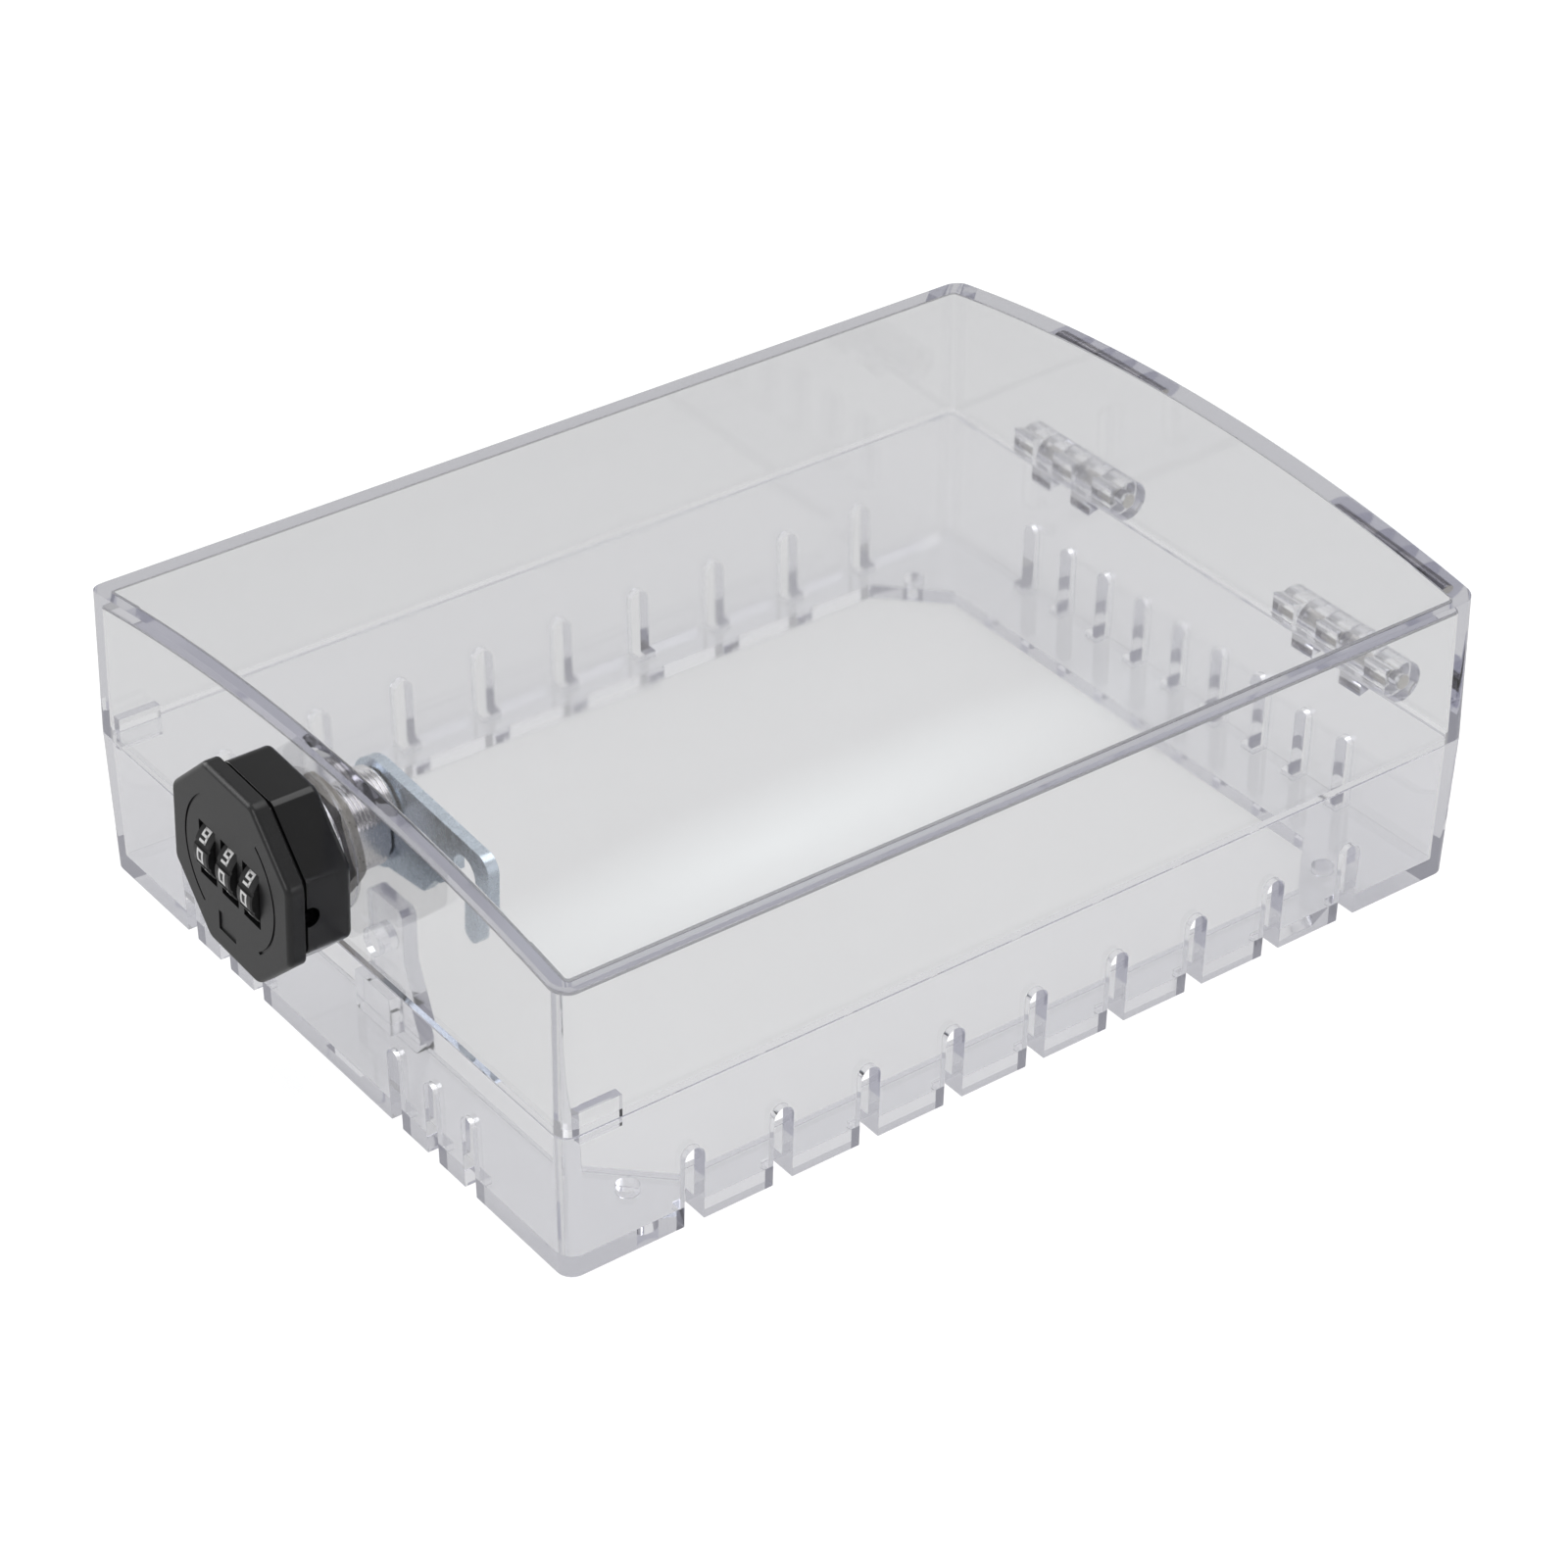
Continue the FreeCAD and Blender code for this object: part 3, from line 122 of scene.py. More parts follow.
def round_edges(piece, test, radius, segments):
    choose_edges(piece, test)
    bpy.ops.mesh.bevel(offset=radius * mm, segments=segments, profile=0.5, clamp_overlap=True)
    bpy.ops.object.mode_set(mode="OBJECT")


def ease_edges(piece, width, segments=2, angle=40):
    """Takes the sharpness off every edge, as moulding and tumbling do."""
    pick(piece)
    modifier = piece.modifiers.new("ease", "BEVEL")
    modifier.width = width * mm
    modifier.segments = segments
    modifier.limit_method = "ANGLE"
    modifier.angle_limit = math.radians(angle)
    modifier.use_clamp_overlap = True
    bpy.ops.object.modifier_apply(modifier=modifier.name)


def smooth(piece, angle=30):
    """Smooth shading in which each large face stays flat right up to its rounded edges."""
    pick(piece)
    bpy.ops.object.shade_smooth_by_angle(angle=math.radians(angle))
    modifier = piece.modifiers.new("even_shading", "WEIGHTED_NORMAL")
    modifier.mode = "FACE_AREA"
    modifier.weight = 100
    modifier.thresh = 0.01
    modifier.keep_sharp = True
    bpy.ops.object.modifier_apply(modifier=modifier.name)


def plate(name, corners, thickness, place):
    """A flat plate: a filled circle whose corners are set to the outline, then extruded along its own Z."""
    clear_selection()
    bpy.ops.mesh.primitive_circle_add(vertices=len(corners), radius=mm, fill_type="NGON")
    piece = bpy.context.object
    piece.name = name
    for vertex, (x, y) in zip(piece.data.vertices, corners):
        vertex.co = (x * mm, y * mm, 0)
    bpy.ops.object.mode_set(mode="EDIT")
    bpy.ops.mesh.select_all(action="SELECT")
    bpy.ops.mesh.extrude_region_move(TRANSFORM_OT_translate={"value": (0, 0, thickness * mm)})
    bpy.ops.mesh.select_all(action="SELECT")
    bpy.ops.mesh.normals_make_consistent(inside=False)
    bpy.ops.object.mode_set(mode="OBJECT")
    settle(piece, place)
    return piece


def arc(x, y, radius, first, last, steps):
    """Points of an arc from one angle to another, in degrees."""
    turns = [math.radians(first + (last - first) * n / steps) for n in range(steps + 1)]
    return [(x + radius * math.cos(turn), y + radius * math.sin(turn)) for turn in turns]


def facing(origin, right, up):
    """The place of a flat outline whose x and y run along right and up, its thickness along their cross."""
    right, up = Vector(right), Vector(up)
    return Matrix.Translation(Vector(origin) * mm) @ Matrix((right, up, right.cross(up))).transposed().to_4x4()


def drafted(name, reach_x, reach_y, low, high, low_shrink, high_shrink, corner):
    """A block whose lower and upper ends are smaller than its mouth by the draft, with round upright corners."""
    piece = block(name, (-reach_x, -reach_y, low), (reach_x, reach_y, high))
    for vertex in piece.data.vertices:
        shrink = (low_shrink if vertex.co.z < (low + high) / 2 * mm else high_shrink) * mm
        vertex.co.x -= math.copysign(shrink, vertex.co.x)
        vertex.co.y -= math.copysign(shrink, vertex.co.y)
    round_edges(piece, lambda a, b: abs(a.z - b.z) > 1, corner, 7)
    return piece


def new_material(name):
    material = bpy.data.materials.new(name)
    material.use_nodes = True
    nodes, links = material.node_tree.nodes, material.node_tree.links
    return material, nodes, links, nodes["Principled BSDF"]


def clear_plastic(name, tint, edge_tint, painted_rim_shade=0.0):
    """Water-clear moulding: faint flow waves and fine hazy wipe marks in its gloss. Light caught in a wall
    leaves it in the edge tint. The veil is painted shade: a dark diffuse colour mixed in at that share, drawing the
    dark line that a bright moulding shows along its rims."""
    material, nodes, links, shader = new_material(name)
    shader.inputs["Base Color"].default_value = tint
    shader.inputs["Transmission Weight"].default_value = 1.0
    shader.inputs["IOR"].default_value = 1.585
    place = nodes.new("ShaderNodeTexCoord")
    haze = nodes.new("ShaderNodeTexNoise")
    haze.inputs["Scale"].default_value = 34
    haze.inputs["Detail"].default_value = 6
    haze.inputs["Roughness"].default_value = 0.62
    links.new(place.outputs["Object"], haze.inputs["Vector"])
    gloss = nodes.new("ShaderNodeMapRange")
    gloss.inputs["From Min"].default_value = 0.42
    gloss.inputs["From Max"].default_value = 0.72
    gloss.inputs["To Min"].default_value = 0.02
    gloss.inputs["To Max"].default_value = 0.07
    links.new(haze.outputs["Fac"], gloss.inputs["Value"])
    links.new(gloss.outputs["Result"], shader.inputs["Roughness"])
    flow = nodes.new("ShaderNodeTexNoise")
    flow.inputs["Scale"].default_value = 11
    flow.inputs["Detail"].default_value = 2
    flow.inputs["Distortion"].default_value = 0.6
    links.new(place.outputs["Object"], flow.inputs["Vector"])
    waves = nodes.new("ShaderNodeBump")
    waves.inputs["Strength"].default_value = 0.05
    waves.inputs["Distance"].default_value = 0.0004
    links.new(flow.outputs["Fac"], waves.inputs["Height"])
    links.new(waves.outputs["Normal"], shader.inputs["Normal"])
    lamps = nodes.new("ShaderNodeBsdfTransparent")
    lamps.inputs["Color"].default_value = (0.9, 0.905, 0.915, 1)
    edges = nodes.new("ShaderNodeBsdfTransparent")
    edges.inputs["Color"].default_value = edge_tint
    path = nodes.new("ShaderNodeLightPath")
    trapped = nodes.new("ShaderNodeMath")
    trapped.operation = "GREATER_THAN"
    trapped.inputs[1].default_value = 1.5
    links.new(path.outputs["Glossy Depth"], trapped.inputs[0])
    seen = shader.outputs["BSDF"]
    for ray, clear in ((trapped.outputs["Value"], edges), (path.outputs["Is Shadow Ray"], lamps)):
        mix = nodes.new("ShaderNodeMixShader")
        links.new(ray, mix.inputs["Fac"])
        links.new(seen, mix.inputs[1])
        links.new(clear.outputs["BSDF"], mix.inputs[2])
        seen = mix.outputs["Shader"]
    if painted_rim_shade:
        # Painted shade: a dark diffuse colour mixed into the clear plastic draws a dark line along the rims.
        line = nodes.new("ShaderNodeBsdfDiffuse")
        line.inputs["Color"].default_value = (0.1, 0.1, 0.13, 1)
        mix = nodes.new("ShaderNodeMixShader")
        mix.inputs["Fac"].default_value = painted_rim_shade
        links.new(seen, mix.inputs[1])
        links.new(line.outputs["BSDF"], mix.inputs[2])
        seen = mix.outputs["Shader"]
    links.new(seen, nodes["Material Output"].inputs["Surface"])
    return material


def dress(piece, material):
    piece.data.materials.clear()
    piece.data.materials.append(material)


base_top, wall, flange = 29.8, 3.0, 3.0
base_slope = math.tan(math.radians(1.35))
base = drafted("base_frame", 100, 75, 0, base_top, base_top * base_slope, 0, 3.0)
pocket = drafted("pocket", 97, 72, flange, base_top + 10, (base_top - flange) * base_slope,
                 -10 * base_slope, 1.2)
combine(base, pocket, "DIFFERENCE")
opening = plate("opening", [(82, -51.5), (82, 51.5), (70, 63.5), (-70, 63.5), (-82, 51.5), (-82, -51.5),
                            (-70, -63.5), (70, -63.5)], 8, facing((0, 0, -2), (1, 0, 0), (0, 1, 0)))
combine(base, opening, "DIFFERENCE")
for side_x in (-1, 1):
    for side_y in (-1, 1):
        hole = rod("hole", 2.1, (78.8 * side_x, 60.5 * side_y, -2), (78.8 * side_x, 60.5 * side_y, 5), 40)
        combine(base, hole, "DIFFERENCE")


def vent(width, height, depth, origin, right):
    """One slot's cutter: straight sides and a round top, standing on the back edge."""
    half = width / 2
    corners = [(-half, -3), (half, -3)] + arc(0, height - half, half, 0, 180, 14)
    return plate("vent", corners, depth, facing(origin, right, (0, 0, 1)))


cutters = []
for number in range(-4, 5):
    cutters.append(vent(4.0, 16, 10, (18.4 * number, -69, 0), (1, 0, 0)))
    cutters.append(vent(4.0, 16, 10, (18.4 * number, 69, 0), (-1, 0, 0)))
    cutters.append(vent(3.4, 16, 10, (94, 11.4 * number, 0), (0, 1, 0)))
    if abs(number) > 1:
        cutters.append(vent(3.4, 16, 10, (-94, 11.4 * number, 0), (0, -1, 0)))
pick(cutters[0])
for cutter in cutters[1:]:
    cutter.select_set(True)
bpy.ops.object.join()
combine(base, cutters[0], "DIFFERENCE")

post_front = -83.2
tongue = block("tongue", (-84, -9.5, 0), (post_front + 3, 8, flange))
combine(base, tongue, "UNION")
post = plate("post", [(-9.5, 1.5), (7, 1.5)] + arc(5, 25.6, 2, 0, 90, 6) + [(-3.3, 27.6), (-4.3, 26.6), (-4.3, 17),
             (-9.5, 4)], 3, facing((post_front, 0, 0), (0, 1, 0), (0, 0, 1)))
combine(base, post, "UNION")
combine(base, block("step", (post_front - 2.8, -4.3, 1.5), (post_front + 1, 7, 11)), "UNION")
combine(base, rod("peg", 2.75, (post_front - 3.8, 0, 20.7), (post_front + 1, 0, 20.7), 40), "UNION")

hinge_x, hinge_z = 104.8, 29.95


def knuckle(near, up):
    """A hinge knuckle: a barrel and the web that carries it, moulded in one with its wall."""
    side, edge = (1, 30.1) if up else (-1, 29.8)
    web = 4.5
    profile = [(98.6, edge), (98.6, edge + side * (web + 0.4)), (99.2, edge + side * web)]
    profile += arc(hinge_x, hinge_z, 4.2, 120 * side, (120 - 297) * side, 44)
    if not up:
        profile.reverse()
    return plate("knuckle", profile, 5.7, facing((0, near + 5.7, 0), (1, 0, 0), (0, 0, 1)))


for middle in (-38.5, 38.5):
    for number in (-1, 1):
        combine(base, knuckle(middle + 6 * number - 2.85, False), "UNION")
    bore = rod("bore", 1.56, (hinge_x, middle - 20, hinge_z), (hinge_x, middle + 20, hinge_z), 40)
    combine(base, bore, "DIFFERENCE")
ease_edges(base, 0.25)
smooth(base)
dress(base, clear_plastic("clear_base", (0.957, 0.957, 0.975, 1), (0.9, 0.9, 0.93, 1)))
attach(base, "base")
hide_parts("base_shell")

# Cover: the same clear polycarbonate, a drafted box with a gently arched crown, hinged on its right wall.
# Two little tabs in its left corners drop behind the base's walls, and a two-flat hole takes the lock.
cover_low = 30.1
cover_slope = math.tan(math.radians(0.85))
crown_radius = (75 ** 2 + 6.8 ** 2) / (2 * 6.8)
crown_middle = 30.1 + 29.5 + 6.8 - crown_radius


def crowned(name, inset):
    """A drafted block cut off by the crown's cylinder, inset by a wall for the hollow."""
    low = cover_low - (2 if inset else 0)
    body = drafted(name, 100 - inset, 75 - inset, low, 72, -(cover_low - low) * cover_slope,
                   (72 - cover_low) * cover_slope, 1.2 if inset else 3.0)
    radius = crown_radius - inset
    crown = rod("crown", radius, (-120, 0, crown_middle), (120, 0, crown_middle), 1440)
    combine(body, crown, "INTERSECT")
    return body


cover = crowned("cover", 0)
round_edges(cover, lambda a, b: min(a.z, b.z) > 59.2 and (
    max(abs(a.x), abs(b.x)) > 99.2 and abs(a.x - b.x) < 1.5 and abs(a.x) + abs(b.x) > 195 or
    min(abs(a.y), abs(b.y)) > 71.5 and abs(a.z - b.z) < 1.0), 0.8, 5)
hollow = crowned("hollow", 3.0)
round_edges(hollow, lambda a, b: min(a.z, b.z) > 56 and (
    max(abs(a.x), abs(b.x)) > 96 and abs(a.x - b.x) < 1.0 and abs(a.x) + abs(b.x) > 189 or
    min(abs(a.y), abs(b.y)) > 70.8 and abs(a.z - b.z) < 0.6), 0.5, 4)
combine(cover, hollow, "DIFFERENCE")

lock_x, lock_z = -100.0, 46.5
def two_flats(radius, flat, sides=24):
    """The outline of a round bar with two upright flats."""
    turn = math.degrees(math.acos(flat / radius))
    return arc(0, 0, radius, turn, 180 - turn, sides) + arc(0, 0, radius, 180 + turn, 360 - turn, sides)


for side in (-1, 1):
    drop = block("tab", (-95.8, min(70.05 * side, 71.65 * side), 26.7), (-87.3, max(70.05 * side, 71.65 * side), 33.1))
    combine(cover, drop, "UNION")
    foot = block("tab_foot", (-95.8, min(70.05 * side, 73.5 * side), 30.1), (-87.3, max(70.05 * side, 73.5 * side), 33.1))
    combine(cover, foot, "UNION")
for middle in (-38.5, 38.5):
    for number in (-2, 0, 2):
        combine(cover, knuckle(middle + 6 * number - 2.85, True), "UNION")
    bore = rod("bore", 1.56, (hinge_x, middle - 20, hinge_z), (hinge_x, middle + 20, hinge_z), 40)
    combine(cover, bore, "DIFFERENCE")
ease_edges(cover, 0.25)
# The slanted rim facets up at the crown get a second material: the same clear plastic with a veil of painted shade, a
# dark diffuse colour that draws a dark line along the rims.
for name, painted_rim_shade in (("clear_cover", 0.0), ("clear_rim_painted_shade", 0.6)):
    cover.data.materials.append(clear_plastic(name, (0.965, 0.967, 0.975, 1), (0.82, 0.82, 0.86, 1), painted_rim_shade))
pick(cover)
bpy.ops.object.mode_set(mode="EDIT")
bpy.ops.mesh.select_mode(type="FACE")
bpy.ops.mesh.select_all(action="DESELECT")
bpy.ops.object.mode_set(mode="OBJECT")
for facet in cover.data.polygons:
    x, y, z = facet.center / mm
    facet.select = z > 56 and 0.1 < abs(facet.normal.z) < 0.97 and abs(x) < 97.5 and abs(y) < 72.5
bpy.ops.object.mode_set(mode="EDIT")
cover.active_material_index = 1
bpy.ops.object.material_slot_assign()
bpy.ops.object.mode_set(mode="OBJECT")
combine(cover, rod("outer_seat", 11.5, (lock_x, 0, lock_z), (lock_x + 1.5, 0, lock_z), 72), "UNION")
combine(cover, rod("inner_seat", 13.0, (lock_x + 1.5, 0, lock_z), (lock_x + 3.56, 0, lock_z), 72), "UNION")
lock_hole = plate("lock_hole", two_flats(8.15, 7.05), 12, facing((lock_x - 4, 0, lock_z), (0, 1, 0), (0, 0, 1)))
combine(cover, lock_hole, "DIFFERENCE")
smooth(cover)
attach(cover, "cover")
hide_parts("cover_shell")

# Hinge pins: drawn stainless wire, cut and lightly rounded at the ends, pressed through the knuckles.


def bright_metal(name, colour, rough, scratch=(60, 900, 60), spread=0.12, bump=0.15):
    """Bare or plated metal with fine drawn or tumbled marks that change its gloss."""
    material, nodes, links, shader = new_material(name)
    shader.inputs["Metallic"].default_value = 1.0
    place = nodes.new("ShaderNodeTexCoord")
    stretch = nodes.new("ShaderNodeMapping")
    stretch.inputs["Scale"].default_value = scratch
    links.new(place.outputs["Object"], stretch.inputs["Vector"])
    marks = nodes.new("ShaderNodeTexNoise")
    marks.inputs["Scale"].default_value = 9
    marks.inputs["Detail"].default_value = 5
    links.new(stretch.outputs["Vector"], marks.inputs["Vector"])
    shade = nodes.new("ShaderNodeMix")
    shade.data_type = "RGBA"
    shade.inputs["A"].default_value = [c * 0.86 for c in colour] + [1]
    shade.inputs["B"].default_value = [min(1, c * 1.1) for c in colour] + [1]
    links.new(marks.outputs["Fac"], shade.inputs["Factor"])
    links.new(shade.outputs["Result"], shader.inputs["Base Color"])
    gloss = nodes.new("ShaderNodeMapRange")
    gloss.inputs["From Min"].default_value = 0.3
    gloss.inputs["From Max"].default_value = 0.7
    gloss.inputs["To Min"].default_value = max(0.04, rough - spread)
    gloss.inputs["To Max"].default_value = rough + spread
    links.new(marks.outputs["Fac"], gloss.inputs["Value"])
    links.new(gloss.outputs["Result"], shader.inputs["Roughness"])
    relief = nodes.new("ShaderNodeBump")
    relief.inputs["Strength"].default_value = bump
    relief.inputs["Distance"].default_value = 0.00006
    links.new(marks.outputs["Fac"], relief.inputs["Height"])
    links.new(relief.outputs["Normal"], shader.inputs["Normal"])
    return material


pin_steel = bright_metal("pin_steel", (0.56, 0.54, 0.5), 0.32, (900, 40, 900))
for number, middle in ((1, -38.5), (2, 38.5)):
    pin = rod("pin_%d" % number, 1.5, (hinge_x, middle - 15, hinge_z), (hinge_x, middle + 15, hinge_z), 40)
    ease_edges(pin, 0.3, 3)
    smooth(pin)
    dress(pin, pin_steel)
    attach(pin, "base")
    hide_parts("hinge_pin_%d" % number)

# Lock barrel: a plated zinc casting through the cover's wall, threaded, with a flat milled on each side.
# Its flange outside has two notches for the lock bar. The lock's own frame has x to the right, y up, z outwards.
lock_frame = Matrix.Translation((lock_x * mm, 0, lock_z * mm)) @ Matrix(
    ((0, 0, -1, 0), (-1, 0, 0, 0), (0, 1, 0, 0), (0, 0, 0, 1)))
knob_frame = lock_frame @ Matrix.Rotation(math.radians(-3), 4, "Z")
flat_up = facing((0, 0, 0), (1, 0, 0), (0, 1, 0))


def level(depth):
    return facing((0, 0, depth), (1, 0, 0), (0, 1, 0))


thread_low, thread_high, pitch = -13.4, -0.6, 0.8
profile = [(7.3, 1.0), (7.3, thread_high)]
count = int((thread_high - thread_low) / pitch)
for number in range(count):
    low = thread_high - pitch * number
    profile += [(8.0, low - pitch * 0.4), (8.0, low - pitch * 0.52), (7.5, low - pitch * 0.96)]
profile += [(7.5, -13.5), (7.2, -13.9), (0, -13.9), (0, 1.0)]


def turned(name, outline, steps=96, place=None):
    """A turned piece: its half outline (radius, height) spun about Z and merged at the poles."""
    clear_selection()
    bpy.ops.mesh.primitive_circle_add(vertices=len(outline), radius=mm, fill_type="NOTHING")
    piece = bpy.context.object
    piece.name = name
    for vertex, (radius, height) in zip(piece.data.vertices, outline):
        vertex.co = (radius * mm, 0, height * mm)
    bpy.ops.object.mode_set(mode="EDIT")
    bpy.ops.mesh.select_all(action="SELECT")
    bpy.ops.mesh.spin(steps=steps, angle=math.tau, center=(0, 0, 0), axis=(0, 0, 1))
    bpy.ops.mesh.select_all(action="SELECT")
    bpy.ops.mesh.remove_doubles(threshold=1e-6)
    bpy.ops.mesh.dissolve_degenerate(threshold=1e-6)
    bpy.ops.mesh.select_all(action="SELECT")
    bpy.ops.mesh.normals_make_consistent(inside=False)
    bpy.ops.object.mode_set(mode="OBJECT")
    if place is not None:
        settle(piece, place)
    return piece


barrel = turned("barrel", profile)
combine(barrel, block("flats", (-6.9, -9, -15), (6.9, 9, 2)), "INTERSECT")
flange_disc = rod("flange", 11.5, (0, 0, 0), (0, 0, 2.1), 96)
combine(flange_disc, block("notch", (-2.3, -13, 1.1), (2.3, -8.4, 3)), "DIFFERENCE")
combine(flange_disc, block("notch", (-13, -2.3, 1.1), (-8.4, 2.3, 3)), "DIFFERENCE")
combine(barrel, flange_disc, "UNION")
combine(barrel, rod("bore", 4.58, (0, 0, -15), (0, 0, 3), 72), "DIFFERENCE")
settle(barrel, lock_frame)
smooth(barrel, 25)
dress(barrel, bright_metal("barrel_plate", (0.8, 0.79, 0.78), 0.2, (500, 120, 120), 0.1, 0.25))
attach(barrel, "cover")
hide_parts("lock_barrel")

# Washer and nut: a pale, see-through nylon washer against the clear wall, and a nickel-plated cast nut over it,
# its corners turned down and its skin speckled with small casting pits.
washer = turned("washer", [(8.15, -3.59), (13.0, -3.59), (13.0, -4.13), (8.15, -4.13)], 96)
settle(washer, lock_frame)
ease_edges(washer, 0.15, 2)
smooth(washer)



def pale_nylon():
    """Thin natural nylon: a pale straw haze that shows what lies behind it."""
    material, nodes, links, shader = new_material("pale_nylon")
    shader.inputs["Alpha"].default_value = 0.2
    place = nodes.new("ShaderNodeTexCoord")
    cloud = nodes.new("ShaderNodeTexNoise")
    cloud.inputs["Scale"].default_value = 260
    cloud.inputs["Detail"].default_value = 4
    links.new(place.outputs["Object"], cloud.inputs["Vector"])
    colour = nodes.new("ShaderNodeMix")
    colour.data_type = "RGBA"
    colour.inputs["A"].default_value = (0.6, 0.58, 0.53, 1)
    colour.inputs["B"].default_value = (0.74, 0.73, 0.69, 1)
    links.new(cloud.outputs["Fac"], colour.inputs["Factor"])
    links.new(colour.outputs["Result"], shader.inputs["Base Color"])
    gloss = nodes.new("ShaderNodeMapRange")
    gloss.inputs["To Min"].default_value = 0.3
    gloss.inputs["To Max"].default_value = 0.5
    links.new(cloud.outputs["Fac"], gloss.inputs["Value"])
    links.new(gloss.outputs["Result"], shader.inputs["Roughness"])
    return material


dress(washer, pale_nylon())
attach(washer, "cover")
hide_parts("nut_washer")

nut_corner = 19.7 / math.sqrt(3)
nut = plate("nut", [(nut_corner * math.cos(math.radians(60 * n)), nut_corner * math.sin(math.radians(60 * n)))
                    for n in range(6)], 2.5, level(-6.66))
crown_cut = turned("crown_cut", [(0, -6.66), (10.1, -6.66), (11.9, -6.0), (11.9, -4.8), (10.4, -4.16), (0, -4.16)], 96)
combine(nut, crown_cut, "INTERSECT")
combine(nut, rod("bore", 8.04, (0, 0, -8), (0, 0, -3), 72), "DIFFERENCE")
settle(nut, lock_frame @ Matrix.Rotation(math.radians(-5.7), 4, "Z"))
ease_edges(nut, 0.18, 3, 35)
smooth(nut, 35)


def pitted_nickel():
    """Nickel plate on a casting: warm grey, satin, with scattered dark pits."""
    material, nodes, links, shader = new_material("pitted_nickel")
    shader.inputs["Metallic"].default_value = 1.0
    place = nodes.new("ShaderNodeTexCoord")
    grain = nodes.new("ShaderNodeTexNoise")
    grain.inputs["Scale"].default_value = 700
    grain.inputs["Detail"].default_value = 5
    links.new(place.outputs["Object"], grain.inputs["Vector"])
    cells = nodes.new("ShaderNodeTexVoronoi")
    cells.inputs["Scale"].default_value = 950
    links.new(place.outputs["Object"], cells.inputs["Vector"])
    pits = nodes.new("ShaderNodeMapRange")
    pits.inputs["From Min"].default_value = 0.08
    pits.inputs["From Max"].default_value = 0.2
    links.new(cells.outputs["Distance"], pits.inputs["Value"])
    skin = nodes.new("ShaderNodeMix")
    skin.data_type = "RGBA"
    skin.inputs["A"].default_value = (0.24, 0.225, 0.205, 1)
    skin.inputs["B"].default_value = (0.42, 0.4, 0.37, 1)
    links.new(grain.outputs["Fac"], skin.inputs["Factor"])
    colour = nodes.new("ShaderNodeMix")
    colour.data_type = "RGBA"
    colour.inputs["A"].default_value = (0.12, 0.11, 0.1, 1)
    links.new(skin.outputs["Result"], colour.inputs["B"])
    links.new(pits.outputs["Result"], colour.inputs["Factor"])
    links.new(colour.outputs["Result"], shader.inputs["Base Color"])
    gloss = nodes.new("ShaderNodeMapRange")
    gloss.inputs["To Min"].default_value = 0.24
    gloss.inputs["To Max"].default_value = 0.5
    links.new(grain.outputs["Fac"], gloss.inputs["Value"])
    links.new(gloss.outputs["Result"], shader.inputs["Roughness"])
    relief = nodes.new("ShaderNodeBump")
    relief.inputs["Strength"].default_value = 0.5
    relief.inputs["Distance"].default_value = 0.0001
    links.new(pits.outputs["Result"], relief.inputs["Height"])
    links.new(relief.outputs["Normal"], shader.inputs["Normal"])
    return material


dress(nut, pitted_nickel())
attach(nut, "cover")
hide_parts("barrel_nut")

# Hook cam: stamped from 2.2 mm steel and zinc plated with a bluish passivation. One face has the
# rolled-over edge of the punch. It turns with the knob, and its hook comes down round the base's peg.
cam_outline = arc(0, 0, 9.0, -53.13, -270, 44)
cam_outline += arc(30, 5.8, 3, 90, 0, 10) + arc(31, -4.5, 2, 0, -180, 12)
slot_left = 33 - 4 - 6.5
cam_outline += arc(slot_left + 3.25, 5.7 - 3.25, 3.25, 0, 180, 16)
cam_outline += [(slot_left, 0.6), (slot_left - 1.0, -0.25), (slot_left - 2.5, -0.6)]
cam_outline += [(slot_left - 6.0, -5.2)]
cam = plate("cam", cam_outline, 2.2, level(-16.4))
combine(cam, block("square", (-3.2, -3.2, -18), (3.2, 3.2, -13)), "DIFFERENCE")
settle(cam, knob_frame)
ease_edges(cam, 0.22, 3)
smooth(cam)
blue_zinc = bright_metal("blue_zinc", (0.56, 0.63, 0.7), 0.26, (70, 70, 70), 0.08, 0.12)
dress(cam, blue_zinc)
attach(cam, "knob")
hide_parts("hook_cam")

# Cam screw and washer: a plated pan head screw with a cross recess, over a plain spring washer.
screw_zinc = bright_metal("screw_zinc", (0.82, 0.85, 0.87), 0.2, (300, 300, 300), 0.08, 0.2)
cam_washer = turned("cam_washer_ring", [(2.15, -16.4), (5.0, -16.4), (5.0, -17.2), (2.15, -17.2)], 64, knob_frame)
ease_edges(cam_washer, 0.12, 2)
smooth(cam_washer)
dress(cam_washer, screw_zinc)
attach(cam_washer, "knob")
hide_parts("cam_washer")

head = [(0, -20.0), (1.5, -19.92), (2.8, -19.6), (3.8, -19.1), (4.45, -18.4), (4.7, -17.75), (4.7, -17.35),
        (4.55, -17.2), (2.0, -17.2), (2.0, -8.6), (1.4, -8.0), (0, -8.0)]
cam_screw = turned("cam_screw_head", head, 72)
combine(cam_screw, block("recess", (-2.6, -0.45, -21), (2.6, 0.45, -18.6)), "DIFFERENCE")
combine(cam_screw, block("recess", (-0.45, -2.6, -21), (0.45, 2.6, -18.6)), "DIFFERENCE")
settle(cam_screw, knob_frame)
smooth(cam_screw, 40)
dress(cam_screw, screw_zinc)
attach(cam_screw, "knob")
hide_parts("cam_screw")

# Knob housing: a zinc casting in glossy black lacquer, eight-sided with soft corners, waisted behind the
# face. The small hole in its right side lets a pin push the axle to set a new code.


def octagon(half, corner, steps=7):
    """Points of an octagon with rounded corners, given half its width across flats."""
    points = []
    reach = (half - corner) / math.cos(math.radians(22.5))
    for number in range(8):
        middle = 22.5 + 45 * number
        x, y = reach * math.cos(math.radians(middle)), reach * math.sin(math.radians(middle))
        points += arc(x, y, corner, middle - 22.5, middle + 22.5, steps)
    return points


